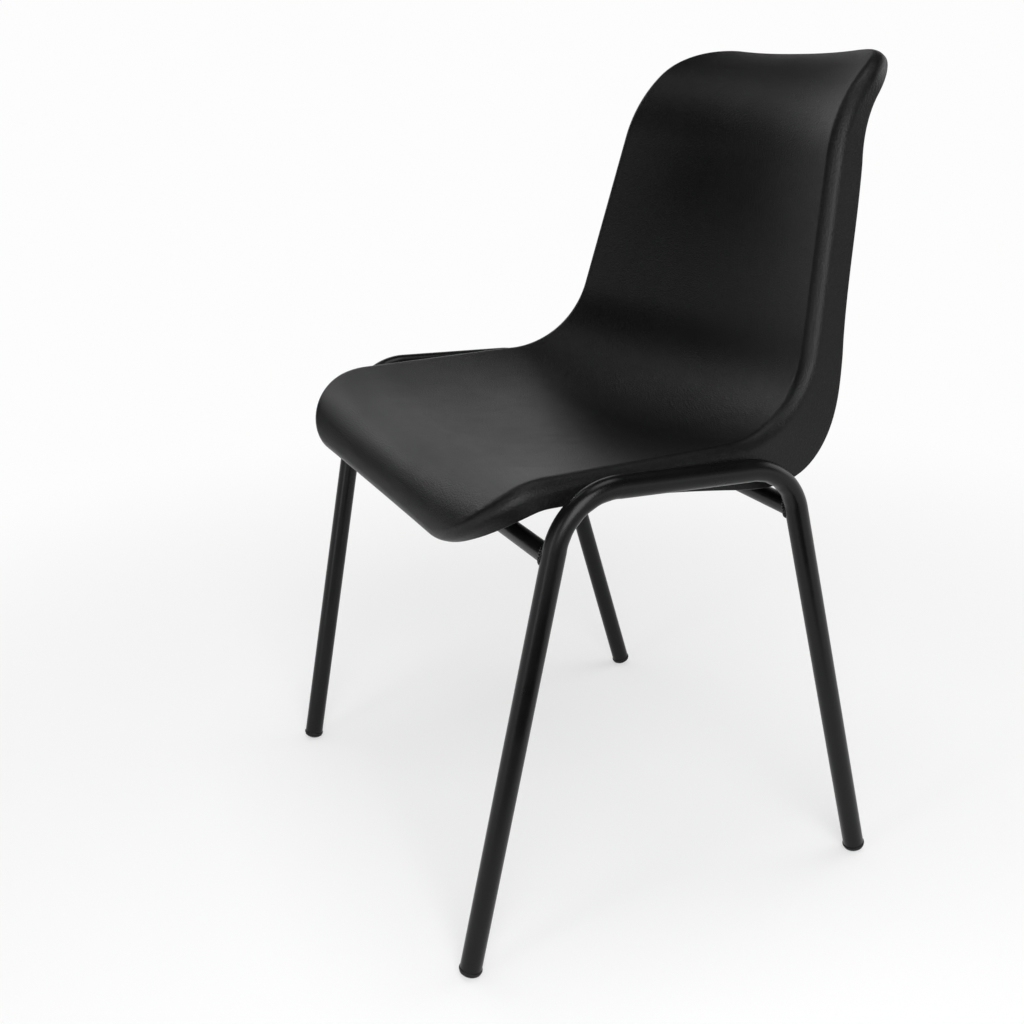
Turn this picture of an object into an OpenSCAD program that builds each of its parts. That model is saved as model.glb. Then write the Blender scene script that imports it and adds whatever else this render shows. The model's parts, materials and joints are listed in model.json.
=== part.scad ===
// Stacking choir chair: a one-piece moulded shell carried by two bent tube side frames,
// which two cross tubes join under the seat. Millimetres, +Z up, sitter faces -Y,
// origin on the floor under the middle of the chair.

/* [Shell profile] */
// Height of the seat's side crest above the floor
seat_crest_h = 444.5; // [400:0.5:480]
// Distance of the level crest's front end before the middle of the feet
level_start_y = 119; // [90:1:140]
// Length of the level part of the side crest
seat_level = 178; // [120:1:230]
// Radius of the front waterfall
waterfall_r = 81; // [60:1:110]
// Turn of the front waterfall, in degrees
waterfall_turn = 68.5; // [55:0.5:80]
// Radius of the crest where the seat turns up into the back
hip_r = 90; // [70:1:120]
// Lean of the back from upright, in degrees
back_lean = 13.3; // [8:0.1:20]
// Length of the straight part of the back's crest
back_straight = 165.5; // [110:0.5:230]
// Radius of the crest's backward flare under the top edge
flare_r = 123; // [90:1:160]
// Turn of the crest's backward flare, in degrees
flare_turn = 61; // [30:1:70]

/* [Shell width] */
// Width of the seat between its side crests
seat_w = 440; // [380:1:450]
// Width of the back between its side crests at the top
top_w = 301.5; // [260:0.5:340]
// Radius of the front corners
front_corner_r = 75; // [50:1:95]
// Radius of the top corners
top_corner_r = 57.5; // [40:0.5:75]

/* [Shell dish] */
// Depth of the seat's dish under its crest
seat_dish = 17; // [8:0.5:22]
// Depth of the dish where the seat meets the back
hip_dish = 30; // [20:0.5:36]
// Depth of the back's hollow behind its crest
back_dish = 27; // [15:0.5:34]
// Depth of the dish at the front edge
front_dish = 2; // [1:0.5:4]
// Depth of the dish at the top edge
top_dish = 9.5; // [2:0.5:14]

/* [Shell rim] */
// Wall of the moulding
wall = 4.5; // [3:0.1:5]
// Outer radius of the crest beside the seat and the back
crest_r = 10; // [8:0.1:12]
// Width of the sloping band between that crest and its shoulder
band_w = 2; // [1:0.5:4]
// Outer radius of the shoulder beside the seat and the back
shoulder_r = 11; // [9:0.1:13]
// Outer radius of the crest along the front and top edges
edge_crest_r = 6; // [5.5:0.1:8]
// Width of the band along the front and top edges
edge_band = 1.5; // [0.5:0.5:3]
// Outer radius of the shoulder along the front and top edges
edge_shoulder_r = 9; // [6:0.1:12]
// Depth of the lip along the front edge
front_lip = 1.5; // [1:0.5:4]
// Depth of the lip along the top edge
top_lip = 1.5; // [1:0.5:8]
// Depth of the skirt beside the seat
seat_skirt = 12.5; // [8:0.5:18]
// Depth of the skirt where the seat starts to turn up
turn_skirt = 27.5; // [20:0.5:32]
// Depth of the skirt round the hip
hip_skirt = 44; // [34:0.5:50]
// Depth of the skirt where the back's straight part starts
back_skirt = 24.5; // [18:0.5:32]
// Depth of the skirt where the back starts to flare
flare_skirt = 18.5; // [12:0.5:26]
// Depth of the skirt at the top corners
top_skirt = 6; // [3:0.5:12]

/* [Side frames] */
// Outside diameter of the side frame tube
tube_d = 20; // [18:0.1:22]
// Wall of the side frame tube
tube_wall = 1.5; // [1.2:0.1:2.5]
// Bend radius of the side frame, to the tube's axis
bend_r = 57; // [45:1:70]
// Distance between the front and rear leg axes at the floor
foot_depth = 423; // [380:1:470]
// Distance between the left and right leg axes at the floor
foot_width = 477; // [470:1:520]
// Gap between the shell's skirt and each rail
rail_gap = 4; // [1:0.5:15]
// Distance of the front knee before the middle of the feet
front_knee_y = 114; // [90:1:130]
// Height of the seat's crest above the front knee, where leg axis and rail axis would cross
front_knee_drop = 6; // [2:0.5:16]
// Distance of the rear knee behind the middle of the feet
rear_knee_y = 101; // [85:1:120]
// Height of the seat's crest above the rear knee
rear_knee_drop = 18; // [8:0.5:28]

/* [Cross tubes] */
// Outside diameter of the cross tubes
cross_d = 17; // [16:0.1:19]
// Wall of the cross tubes
cross_wall = 1.5; // [1.2:0.1:2.5]
// Height of the seat's crest above the cross tubes' axes
cross_drop = 60.5; // [56:0.5:68]

/* [Mounting plates] */
// Width of each mounting plate along its tube
plate_w = 36; // [30:1:44]
// Length of each mounting plate across its tube
plate_len = 44; // [40:1:50]
// Length of each mounting plate beyond its tube's axis, away from the seat's middle
plate_lap = 11; // [9:1:14]
// Corner radius of the mounting plates
plate_corner_r = 6; // [3:0.5:10]
// Thickness of the mounting plates
plate_t = 3; // [2.5:0.1:4]
// Distance from the middle of the seat to each mounting screw
screw_x = 110; // [80:1:130]
// Distance from a cross tube's axis to its mounting screws
screw_reach = 21; // [20:0.5:24]
// Width of the weld fillet under a mounting plate
weld_w = 5; // [3:0.5:6]

/* [Fasteners] */
// Diameter of the mounting screws
screw_d = 6; // [5:0.1:6]
// Length of the mounting screws under the head
screw_len = 20; // [16:1:22]
// Diameter of the screw head
screw_head_d = 12; // [10:0.1:13]
// Height of the screw head
screw_head_h = 3.6; // [3:0.1:4.5]
// Size of the screw's hexagon socket across flats
socket_af = 4; // [3:0.1:4.5]
// Depth of the hexagon socket
socket_depth = 2.2; // [1.5:0.1:2.5]
// Outside diameter of the washers
washer_d = 16; // [14:0.1:18]
// Thickness of the washers
washer_t = 1.6; // [1:0.1:2]
// Clearance hole of the washers and plates
screw_hole_d = 6.6; // [6.4:0.1:7]
// Outside diameter of the threaded inserts
insert_d = 9; // [8:0.1:10]
// Length of the threaded inserts
insert_len = 14; // [10:1:15]
// Diameter of the moulded bosses at the plates
boss_d = 24; // [20:0.5:26]
// Diameter of the moulded bosses where they join the shell
boss_root_d = 30; // [26:0.5:34]

/* [Foot glides] */
// Diameter of the glide's ring under the tube end
glide_ring_d = 21.4; // [20.4:0.1:24]
// Height of the glide's ring
glide_ring_h = 2.6; // [2:0.1:4]
// Diameter of the glide's base
glide_base_d = 20; // [18:0.1:22]
// Height of the straight band of the glide's base
glide_band_h = 1.5; // [1:0.1:4]
// Radius of the glide's domed sole
glide_dome_r = 14; // [12:0.5:18]
// Depth of the flat worn on the sole
glide_flat = 0.4; // [0.2:0.05:0.6]
// Length of the glide's spigot inside the tube
spigot_len = 22; // [15:1:30]

/* [Hidden] */
$fn = 64;

// Fits and overruns
spigot_clearance = 0.1;
weld_gap = 0.25;
plate_gap = 0.05;
insert_clearance = 0.05;
overrun = 1;

// How far an elbow laps into the lengths beside it, in degrees, and how much thinner it is
lap_turn = 1;
bend_step = 0.03;

// Colours
shell_black = [0.045, 0.045, 0.05];
tube_black = [0.03, 0.03, 0.033];
glide_black = [0.05, 0.05, 0.05];
zinc = [0.62, 0.63, 0.65];
brass = [0.72, 0.58, 0.30];

// Counts of the shell's mesh, across and along, and of its bosses
across = 24;
along = 44;
boss_sides = 24;
search_steps = 18;

// Shape of the shell's section: how full the dish is, and how far its width change is eased
dish_power = 2.4;
taper_ease = 40;

// Places of the dish's and the skirt's set depths, as shares of their stretches
front_dish_share = 0.85;
seat_dish_place_share = 0.5;
hip_dish_place_share = 0.55;
back_dish_place_share = 0.5;
seat_skirt_place_share = 0.4;
seat_skirt_gain_share = 0.12;
hip_skirt_place_share = 0.44;

// Directions of the rim's section, in degrees below level, where its surface turns
crest_start = -15;
band_angle = 42;
skirt_angle = 86;
top_band_angle = 28;
top_lip_angle = 36;
rim_rings = 7;

// Value at s on a smooth curve through the rows [place, value] of a table
function row_slope(rows, i) = i == 0 || i == len(rows) - 1 ? 0 :
    (rows[i + 1][1] - rows[i - 1][1]) / (rows[i + 1][0] - rows[i - 1][0]);
function smooth_lookup(s, rows, i = 0) =
    i < len(rows) - 2 && s > rows[i + 1][0] ? smooth_lookup(s, rows, i + 1) :
    let (h = rows[i + 1][0] - rows[i][0], t = min(1, max(0, (s - rows[i][0]) / h)),
        rise = t * t * (3 - 2 * t))
    (1 - rise) * rows[i][1] + rise * rows[i + 1][1]
        + t * (1 - t) * h * ((1 - t) * row_slope(rows, i) - t * row_slope(rows, i + 1));
// Length of an arc
function arc_len(r, degrees) = r * degrees * PI / 180;

// Lengths along the crest profile, from the front edge
waterfall_len = arc_len(waterfall_r, waterfall_turn);
hip_turn = 90 - back_lean;
hip_len = arc_len(hip_r, hip_turn);
flare_len = arc_len(flare_r, flare_turn);
s_seat = waterfall_len;
s_hip = s_seat + seat_level;
s_back = s_hip + hip_len;
s_flare = s_back + back_straight;
s_top = s_flare + flare_len;

// Place [y, z, direction] after going a length along an arc that turns up (r > 0) or over (r < 0)
function along_arc(p, r, length) =
    let (turn = length / r * 180 / PI)
    [p[0] + r * (sin(p[2] + turn) - sin(p[2])),
     p[1] - r * (cos(p[2] + turn) - cos(p[2])),
     p[2] + turn];
function along_line(p, length) = [p[0] + length * cos(p[2]), p[1] + length * sin(p[2]), p[2]];

// The crest's profile in the plane of its side
crest_level_start = [-level_start_y, seat_crest_h, 0];
crest_hip = along_line(crest_level_start, seat_level);
crest_back = along_arc(crest_hip, hip_r, hip_len);
crest_flare = along_line(crest_back, back_straight);
function crest(s) =
    s < s_seat ? along_arc(crest_level_start, -waterfall_r, s - s_seat) :
    s < s_hip ? along_line(crest_level_start, s - s_seat) :
    s < s_back ? along_arc(crest_hip, hip_r, s - s_hip) :
    s < s_flare ? along_line(crest_back, s - s_back) :
    along_arc(crest_flare, -flare_r, s - s_flare);

// Half the width between the crests: level beside the seat, then an even taper, eased at its start
taper = (seat_w - top_w) / 2 / (s_top - s_hip);
function half_w(s) =
    let (d = s - s_hip)
    seat_w / 2 - taper * (d <= -taper_ease ? 0 :
        d >= taper_ease ? d : pow(d + taper_ease, 2) / (4 * taper_ease));

// Depth of the dish along the profile
dish_rows = [[0, front_dish], [s_seat, seat_dish * front_dish_share],
    [s_seat + seat_level * seat_dish_place_share, seat_dish],
    [s_hip + hip_len * hip_dish_place_share, hip_dish],
    [s_back + back_straight * back_dish_place_share, back_dish],
    [s_flare, back_dish], [s_top, top_dish]];
function dish(s) = smooth_lookup(s, dish_rows);
function dish_at(s, x) = dish(s) * (1 - pow(min(1, abs(x) / half_w(s)), dish_power));

// Depth of the skirt along the profile
skirt_rows = [[0, seat_skirt], [s_seat, seat_skirt],
    [s_seat + seat_level * seat_skirt_place_share,
        seat_skirt + (turn_skirt - seat_skirt) * seat_skirt_gain_share],
    [s_hip, turn_skirt], [s_hip + hip_len * hip_skirt_place_share, hip_skirt],
    [s_back, back_skirt], [s_flare, flare_skirt], [s_top, top_skirt]];
function skirt(s) = smooth_lookup(s, skirt_rows);

// A point at s along the crest profile, x across, and a depth below or behind it
function placed(s, x, depth) =
    let (c = crest(s)) [x, c[0] + depth * sin(c[2]), c[1] - depth * cos(c[2])];

// The outline of the crest, flattened: [s, x, turn of its outward side from the middle line];
// half of each corner's turn belongs to the edge beside it and half to the side
corner_turn = 90;
front_half = seat_w / 2 - front_corner_r;
top_half = top_w / 2 - top_corner_r;
function corner_point(end, r, phi, sign) =
    let (s = end == 0 ? r - r * cos(phi) : s_top - r + r * cos(phi))
    [s, sign * (half_w(s) - r + r * sin(phi)), phi];
function end_point(end, r, half, t) =
    let (arc = arc_len(r, corner_turn / 2), l = abs(t) * (half + arc), sign = t < 0 ? -1 : 1,
        phi = (l - half) / r * 180 / PI)
    l <= half ? [end, sign * l, 0] : corner_point(end, r, phi, sign);
front_arc = arc_len(front_corner_r, corner_turn / 2);
top_arc = arc_len(top_corner_r, corner_turn / 2);
side_line = s_top - front_corner_r - top_corner_r;
function side_point(v, sign) =
    let (l = v * (front_arc + side_line + top_arc))
    l < front_arc ? corner_point(0, front_corner_r,
        corner_turn / 2 + l / front_corner_r * 180 / PI, sign) :
    l <= front_arc + side_line ?
        let (s = front_corner_r + l - front_arc) [s, sign * half_w(s), corner_turn] :
    corner_point(s_top, top_corner_r,
        corner_turn - (l - front_arc - side_line) / top_corner_r * 180 / PI, sign);

// The flattened grid inside the outline, blended from its four sides
front_pts = [for (j = [0:across]) end_point(0, front_corner_r, front_half, 2 * j / across - 1)];
top_pts = [for (j = [0:across]) end_point(s_top, top_corner_r, top_half, 2 * j / across - 1)];
left_pts = [for (i = [0:along]) side_point(i / along, -1)];
right_pts = [for (i = [0:along]) side_point(i / along, 1)];
function flat_grid(i, j) =
    let (u = j / across, v = i / along)
    (1 - v) * front_pts[j] + v * top_pts[j] + (1 - u) * left_pts[i] + u * right_pts[i]
        - (1 - u) * (1 - v) * front_pts[0] - u * (1 - v) * front_pts[across]
        - (1 - u) * v * top_pts[0] - u * v * top_pts[across];
face_grid = [for (i = [0:along]) [for (j = [0:across])
    let (q = flat_grid(i, j)) placed(q[0], q[1], dish_at(q[0], q[1]))]];

// The outline in order round the rim: front, right side, top, left side
rim_count = 2 * (across + along);
outline = concat(
    [for (j = [0:across - 1]) concat(front_pts[j], [-1])],
    [for (i = [0:along - 1]) concat(right_pts[i], [i < along / 2 ? -1 : 1])],
    [for (j = [0:across - 1]) concat(top_pts[across - j], [1])],
    [for (i = [0:along - 1]) concat(left_pts[along - i], [i < along / 2 ? 1 : -1])]);
function grid_at(m, inset = 0) =
    m < across ? face_grid[inset][min(across - inset, max(inset, m))] :
    m < across + along ? face_grid[min(along - inset, max(inset, m - across))][across - inset] :
    m < 2 * across + along ?
        face_grid[along - inset][min(across - inset, max(inset, 2 * across + along - m))] :
    face_grid[min(along - inset, max(inset, rim_count - m))][inset];

// The rim's section at ring k, as [out, down]: a roll at the crest, a band, a roll, a skirt
function roll(r, from, to) = r * [sin(to) - sin(from), cos(from) - cos(to)];
function toward_angle(length, angle) = length * [cos(angle), sin(angle)];
function rim_section(k, radii, band, depth, over, down) =
    k == 0 ? [0, 0] :
    k == 1 ? roll(radii[0], crest_start, (crest_start + over) / 2) :
    k == 2 ? roll(radii[0], crest_start, over) :
    k == 3 ? rim_section(2, radii, band, depth, over, down) + toward_angle(band, over) :
    k == 4 ? rim_section(3, radii, band, depth, over, down)
        + roll(radii[1], over, (over + down) / 2) :
    k == 5 ? rim_section(3, radii, band, depth, over, down) + roll(radii[1], over, down) :
    rim_section(5, radii, band, depth, over, down)
        + toward_angle((k - 5) / (rim_rings - 5) * depth, down);
side_radii = [crest_r, shoulder_r];
edge_radii = [edge_crest_r, edge_shoulder_r];
rim_reach = rim_section(rim_rings, side_radii, band_w, hip_skirt, band_angle, skirt_angle)[0];
// The side's section passes into the front's or the top's round each corner
function between(a, b, share) = a + (b - a) * share;
function rim_point(m, k) =
    let (q = outline[m], phi = q[2], sign = q[1] < 0 ? -1 : 1, g = pow(sin(phi), 2),
        top = q[3] > 0, lip = top ? top_lip : front_lip,
        section = rim_section(k, between(edge_radii, side_radii, g),
            between(edge_band, band_w, g), between(lip, skirt(q[0]), g),
            top ? between(top_band_angle, band_angle, g) : band_angle,
            top ? between(top_lip_angle, skirt_angle, g) : skirt_angle),
        depth = dish_at(q[0], q[1]) + section[1])
    placed(q[0] + section[0] * cos(phi) * q[3], q[1] + section[0] * sin(phi) * sign, depth);
rim = [for (k = [0:rim_rings]) [for (m = [0:rim_count - 1])
    k == 0 ? grid_at(m) : rim_point(m, k)]];

// Unit normals that point into the wall, away from the sitter
function unit(v) = v / norm(v);
function grid_normal(i, j) = unit(cross(
    face_grid[min(along, i + 1)][j] - face_grid[max(0, i - 1)][j],
    face_grid[i][min(across, j + 1)] - face_grid[i][max(0, j - 1)]));
function rim_normal(k, m) = unit(cross(
    rim[k][(m + 1) % rim_count] - rim[k][(m + rim_count - 1) % rim_count],
    rim[min(rim_rings, k + 1)][m] - (k == 0 ? grid_at(m, 1) : rim[k - 1][m])));
function inside_grid(i, j) = i > 0 && i < along && j > 0 && j < across;

// All points of the moulding: sitter's face, rim rings, then the same again inside the wall
grid_pts = [for (i = [1:along - 1]) for (j = [1:across - 1]) face_grid[i][j]];
grid_back = [for (i = [1:along - 1]) for (j = [1:across - 1])
    face_grid[i][j] + wall * grid_normal(i, j)];
rim_pts = [for (k = [0:rim_rings]) for (m = [0:rim_count - 1]) rim[k][m]];
rim_back = [for (k = [0:rim_rings]) for (m = [0:rim_count - 1])
    rim[k][m] + wall * rim_normal(k, m)];
grid_total = (along - 1) * (across - 1);
rim_total = (rim_rings + 1) * rim_count;
back_start = grid_total + rim_total;
function rim_index(i, j) =
    i == 0 && j < across ? j :
    j == across && i < along ? across + i :
    i == along && j > 0 ? 2 * across + along - j :
    (rim_count - i) % rim_count;
function grid_index(i, j) = inside_grid(i, j) ?
    (i - 1) * (across - 1) + j - 1 : grid_total + rim_index(i, j);
function ring_index(k, m) = grid_total + k * rim_count + m % rim_count;
function split_quad(a, b, c, d) = [[a, b, c], [a, c, d]];
face_tris = [
    for (i = [0:along - 1]) for (j = [0:across - 1])
        each split_quad(grid_index(i, j), grid_index(i + 1, j),
            grid_index(i + 1, j + 1), grid_index(i, j + 1)),
    for (k = [0:rim_rings - 1]) for (m = [0:rim_count - 1])
        each split_quad(ring_index(k, m), ring_index(k, m + 1),
            ring_index(k + 1, m + 1), ring_index(k + 1, m))];
back_tris = [for (t = face_tris) [t[2] + back_start, t[1] + back_start, t[0] + back_start]];
edge_tris = [for (m = [0:rim_count - 1])
    each split_quad(ring_index(rim_rings, m), ring_index(rim_rings, m + 1),
        ring_index(rim_rings, m + 1) + back_start, ring_index(rim_rings, m) + back_start)];

module shell_moulding() {
    polyhedron(concat(grid_pts, rim_pts, grid_back, rim_back),
        concat(face_tris, back_tris, edge_tris), convexity = 6);
}

// Frame places
front_knee_z = seat_crest_h - front_knee_drop;
rear_knee_z = seat_crest_h - rear_knee_drop;
cross_z = seat_crest_h - cross_drop;
rail_width = seat_w + 2 * (rim_reach + rail_gap) + tube_d;
lean_dx = (rail_width - foot_width) / 2;
rail_z = (front_knee_z + rear_knee_z) / 2;
lean = atan(lean_dx / rail_z);
foot_y = foot_depth / 2;
// The side frame's own plane holds [y, length up the plane]
function up_plane(z) = z / cos(lean);
front_foot = [-foot_y, 0];
front_knee = [-front_knee_y, up_plane(front_knee_z)];
rear_knee = [rear_knee_y, up_plane(rear_knee_z)];
rear_foot = [foot_y, 0];
function heading(a, b) = atan2(b[1] - a[1], b[0] - a[0]);
function toward(a, b, length) = a + length * unit(b - a);
front_heading = heading(front_foot, front_knee);
rail_heading = heading(front_knee, rear_knee);
rear_heading = heading(rear_knee, rear_foot);
front_turn = front_heading - rail_heading;
rear_turn = rail_heading - rear_heading;
front_tangent = bend_r * tan(front_turn / 2);
rear_tangent = bend_r * tan(rear_turn / 2);

// Glide places along the leg's axis, from the floor
function sole_centre(tilt) = (glide_dome_r - glide_flat) / cos(tilt);
dome_sink = sqrt(pow(glide_dome_r, 2) - pow(glide_base_d / 2, 2));
function ring_start(tilt) = sole_centre(tilt) - dome_sink + glide_band_h;
function tube_start(tilt) = ring_start(tilt) + glide_ring_h;
function leg_tilt(foot, knee) =
    acos(cos(lean) * sin(abs(heading(foot, knee))));
front_tilt = leg_tilt(front_foot, front_knee);
rear_tilt = leg_tilt(rear_foot, rear_knee);

// The chair is drawn about the middle of its feet, then moved so that its overall box is centred
function all_y(pts) = [for (p = pts) p[1]];
shell_rear_y = max(all_y(rim_pts));
front_reach = -foot_y + ring_start(front_tilt) * cos(front_heading)
    - glide_ring_d / 2 * sin(front_heading);
centre_shift = -(shell_rear_y + front_reach) / 2;
module centred() { translate([0, centre_shift, 0]) children(); }

// A side frame's plane, from the floor up, for side 1 (left) or -1 (right)
module in_side_plane(side) {
    mirror([side < 0 ? 1 : 0, 0, 0])
        translate([foot_width / 2, 0, 0]) rotate([0, lean, 0]) children();
}
// Lays +Z along the line from a to b of the side plane
module along_run(a, b) {
    translate([0, a[0], a[1]]) rotate([heading(a, b) - 90, 0, 0]) children();
}

// The bent bar goes along +Y from the place it has reached, and turns left at its elbows
module bar_length(r, length, over = 0) {
    translate([0, -over, 0]) rotate([-90, 0, 0]) cylinder(r = r, h = length + over);
}
// An elbow is a hair thinner than the lengths, and laps into them at both ends
module bar_elbow(r, turn) {
    translate([-bend_r, 0, 0]) rotate([0, 0, -lap_turn])
        rotate_extrude(angle = turn + 2 * lap_turn) translate([bend_r, 0]) circle(r = r - bend_step);
}
module after_length(length) { translate([0, length, 0]) children(); }
module after_elbow(turn) {
    translate([-bend_r, 0, 0]) rotate([0, 0, turn]) translate([bend_r, 0, 0]) children();
}
rear_leg_len = norm(rear_knee - rear_foot) - rear_tangent - tube_start(rear_tilt);
rail_len = norm(rear_knee - front_knee) - front_tangent - rear_tangent;
front_leg_len = norm(front_knee - front_foot) - front_tangent - tube_start(front_tilt);
module bent_bar(r, over = 0) {
    bar_length(r, rear_leg_len, over);
    after_length(rear_leg_len) {
        bar_elbow(r, rear_turn);
        after_elbow(rear_turn) {
            bar_length(r, rail_len);
            after_length(rail_len) {
                bar_elbow(r, front_turn);
                after_elbow(front_turn) bar_length(r, front_leg_len + over);
            }
        }
    }
}
module at_rear_foot(side) {
    start = toward(rear_foot, rear_knee, tube_start(rear_tilt));
    in_side_plane(side) translate([0, start[0], start[1]]) rotate([90, 0, 90])
        rotate([0, 0, heading(rear_foot, rear_knee) - 90]) children();
}
module side_frame(side) {
    color(tube_black) centred() at_rear_foot(side) difference() {
        bent_bar(tube_d / 2);
        bent_bar(tube_d / 2 - tube_wall, overrun);
    }
}

// A cross tube's axis lies where the leg's axis has its height
function leg_y(foot, knee, z) =
    foot[0] + (knee[0] - foot[0]) * up_plane(z) / knee[1];
front_cross_y = leg_y(front_foot, front_knee, cross_z);
rear_cross_y = leg_y(rear_foot, rear_knee, cross_z);
cross_half = foot_width / 2 + cross_z * tan(lean);
module cross_tube(y, foot, knee) {
    color(tube_black) centred() difference() {
        translate([-cross_half, y, cross_z]) rotate([0, 90, 0]) difference() {
            cylinder(d = cross_d, h = 2 * cross_half);
            translate([0, 0, -overrun])
                cylinder(d = cross_d - 2 * cross_wall, h = 2 * (cross_half + overrun));
        }
        for (side = [-1, 1]) in_side_plane(side) along_run(foot, knee)
            cylinder(r = tube_d / 2 + weld_gap, h = norm(knee - foot));
    }
}

// A mounting plate lies on its cross tube and reaches inwards under the seat
plate_z = cross_z + cross_d / 2;
boss_z = plate_z + plate_t;
plate_start = -screw_reach - plate_lap;
function screw_y(front) = front ? front_cross_y + screw_reach : rear_cross_y - screw_reach;
module at_screw(front, left) {
    centred() translate([left ? screw_x : -screw_x, screw_y(front), 0])
        rotate([0, 0, front ? 0 : 180]) children();
}
module mounting_plate(front, left) {
    inner_w = plate_w - 2 * plate_corner_r;
    color(tube_black) at_screw(front, left) difference() {
        union() {
            translate([0, 0, plate_z]) linear_extrude(plate_t) difference() {
                union() {
                    translate([-inner_w / 2, plate_start]) square([inner_w, plate_len]);
                    translate([-plate_w / 2, plate_start + plate_corner_r])
                        square([plate_w, plate_len - 2 * plate_corner_r]);
                    for (x = [-inner_w / 2, inner_w / 2],
                            y = [plate_corner_r, plate_len - plate_corner_r])
                        translate([x, plate_start + y]) circle(r = plate_corner_r);
                }
                circle(d = screw_hole_d);
            }
            translate([-inner_w / 2, -screw_reach - weld_w, plate_z - weld_w / 2])
                cube([inner_w, 2 * weld_w, weld_w / 2]);
        }
        translate([-plate_w, -screw_reach, cross_z]) rotate([0, 90, 0])
            cylinder(d = cross_d + 2 * plate_gap, h = 2 * plate_w);
    }
}

// The pockets for the inserts are a little deeper than the screws reach
pocket_depth = max(insert_len, screw_len - washer_t - plate_t) + overrun;
// A moulded boss rises from its plate into the middle of the shell's wall
function seek_s(x, y, low, high, n = 0) =
    let (mid = (low + high) / 2)
    n >= search_steps ? mid :
    placed(mid, x, dish_at(mid, x))[1] < y ?
        seek_s(x, y, mid, high, n + 1) : seek_s(x, y, low, mid, n + 1);
function wall_z(x, y) =
    let (s = seek_s(x, y, 0, s_back)) placed(s, x, dish_at(s, x))[2] - wall / 2;
module boss(front, left) {
    x0 = left ? screw_x : -screw_x;
    y0 = screw_y(front);
    dirs = [for (a = [0:boss_sides - 1]) [cos(a * 360 / boss_sides), sin(a * 360 / boss_sides)]];
    low = [for (d = dirs) [x0 + d[0] * boss_d / 2, y0 + d[1] * boss_d / 2, boss_z]];
    high = [for (d = dirs) let (x = x0 + d[0] * boss_root_d / 2, y = y0 + d[1] * boss_root_d / 2)
        [x, y, wall_z(x, y)]];
    tip = [x0, y0, wall_z(x0, y0)];
    n = boss_sides;
    polyhedron(concat(low, high, [[x0, y0, boss_z], tip]), concat(
        [for (a = [0:n - 1]) each split_quad(n + a, n + (a + 1) % n, (a + 1) % n, a)],
        [for (a = [0:n - 1]) [2 * n, a, (a + 1) % n]],
        [for (a = [0:n - 1]) [2 * n + 1, n + (a + 1) % n, n + a]]));
}
module seat_shell() {
    color(shell_black) centred() difference() {
        union() {
            shell_moulding();
            for (front = [true, false], left = [true, false]) boss(front, left);
        }
        for (front = [true, false], left = [true, false])
            translate([left ? screw_x : -screw_x, screw_y(front), boss_z - overrun])
                cylinder(d = insert_d + 2 * insert_clearance, h = pocket_depth + overrun);
    }
}

// A threaded insert is moulded flush with its boss
module threaded_insert(front, left) {
    color(brass) at_screw(front, left) translate([0, 0, boss_z]) difference() {
        cylinder(d = insert_d, h = insert_len);
        translate([0, 0, -overrun])
            cylinder(d = screw_d + 2 * insert_clearance, h = insert_len + 2 * overrun);
    }
}
module washer(front, left) {
    color(zinc) at_screw(front, left) translate([0, 0, plate_z - washer_t]) difference() {
        cylinder(d = washer_d, h = washer_t);
        translate([0, 0, -overrun]) cylinder(d = screw_hole_d, h = washer_t + 2 * overrun);
    }
}
// The screw's head is a shallow dome with a hexagon socket
module screw(front, left) {
    head_z = plate_z - washer_t;
    cap_r = (pow(screw_head_d / 2, 2) + pow(screw_head_h, 2)) / (2 * screw_head_h);
    color(zinc) at_screw(front, left) difference() {
        union() {
            translate([0, 0, head_z - overrun])
                cylinder(d = screw_d, h = screw_len + overrun);
            intersection() {
                translate([0, 0, head_z - screw_head_h]) cylinder(d = screw_head_d, h = screw_head_h);
                translate([0, 0, head_z - screw_head_h + cap_r]) sphere(r = cap_r);
            }
        }
        translate([0, 0, head_z - screw_head_h - overrun])
            cylinder(d = socket_af / cos(30), h = socket_depth + overrun, $fn = 6);
    }
}

// A glide plugs the tube's end, with a ring under the tube and a domed sole worn flat
module foot_glide(front, left) {
    foot = front ? front_foot : rear_foot;
    knee = front ? front_knee : rear_knee;
    tilt = front ? front_tilt : rear_tilt;
    color(glide_black) centred() difference() {
        in_side_plane(left ? 1 : -1) along_run(foot, knee) {
            intersection() {
                cylinder(d = glide_base_d, h = ring_start(tilt));
                translate([0, 0, sole_centre(tilt)]) sphere(r = glide_dome_r);
            }
            translate([0, 0, ring_start(tilt)]) cylinder(d = glide_ring_d, h = glide_ring_h);
            translate([0, 0, tube_start(tilt)])
                cylinder(d = tube_d - 2 * tube_wall - 2 * spigot_clearance, h = spigot_len);
        }
        translate([-foot_width, -foot_depth, -glide_dome_r])
            cube([2 * foot_width, 2 * foot_depth, glide_dome_r]);
    }
}

seat_shell();
side_frame(1);  // left_side_frame
side_frame(-1);  // right_side_frame
cross_tube(front_cross_y, front_foot, front_knee);  // front_cross_tube
cross_tube(rear_cross_y, rear_foot, rear_knee);  // rear_cross_tube
mounting_plate(true, true);  // front_left_plate
mounting_plate(true, false);  // front_right_plate
mounting_plate(false, true);  // rear_left_plate
mounting_plate(false, false);  // rear_right_plate
threaded_insert(true, true);  // front_left_insert
threaded_insert(true, false);  // front_right_insert
threaded_insert(false, true);  // rear_left_insert
threaded_insert(false, false);  // rear_right_insert
washer(true, true);  // front_left_washer
washer(true, false);  // front_right_washer
washer(false, true);  // rear_left_washer
washer(false, false);  // rear_right_washer
screw(true, true);  // front_left_screw
screw(true, false);  // front_right_screw
screw(false, true);  // rear_left_screw
screw(false, false);  // rear_right_screw
foot_glide(true, true);  // front_left_glide
foot_glide(true, false);  // front_right_glide
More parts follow.
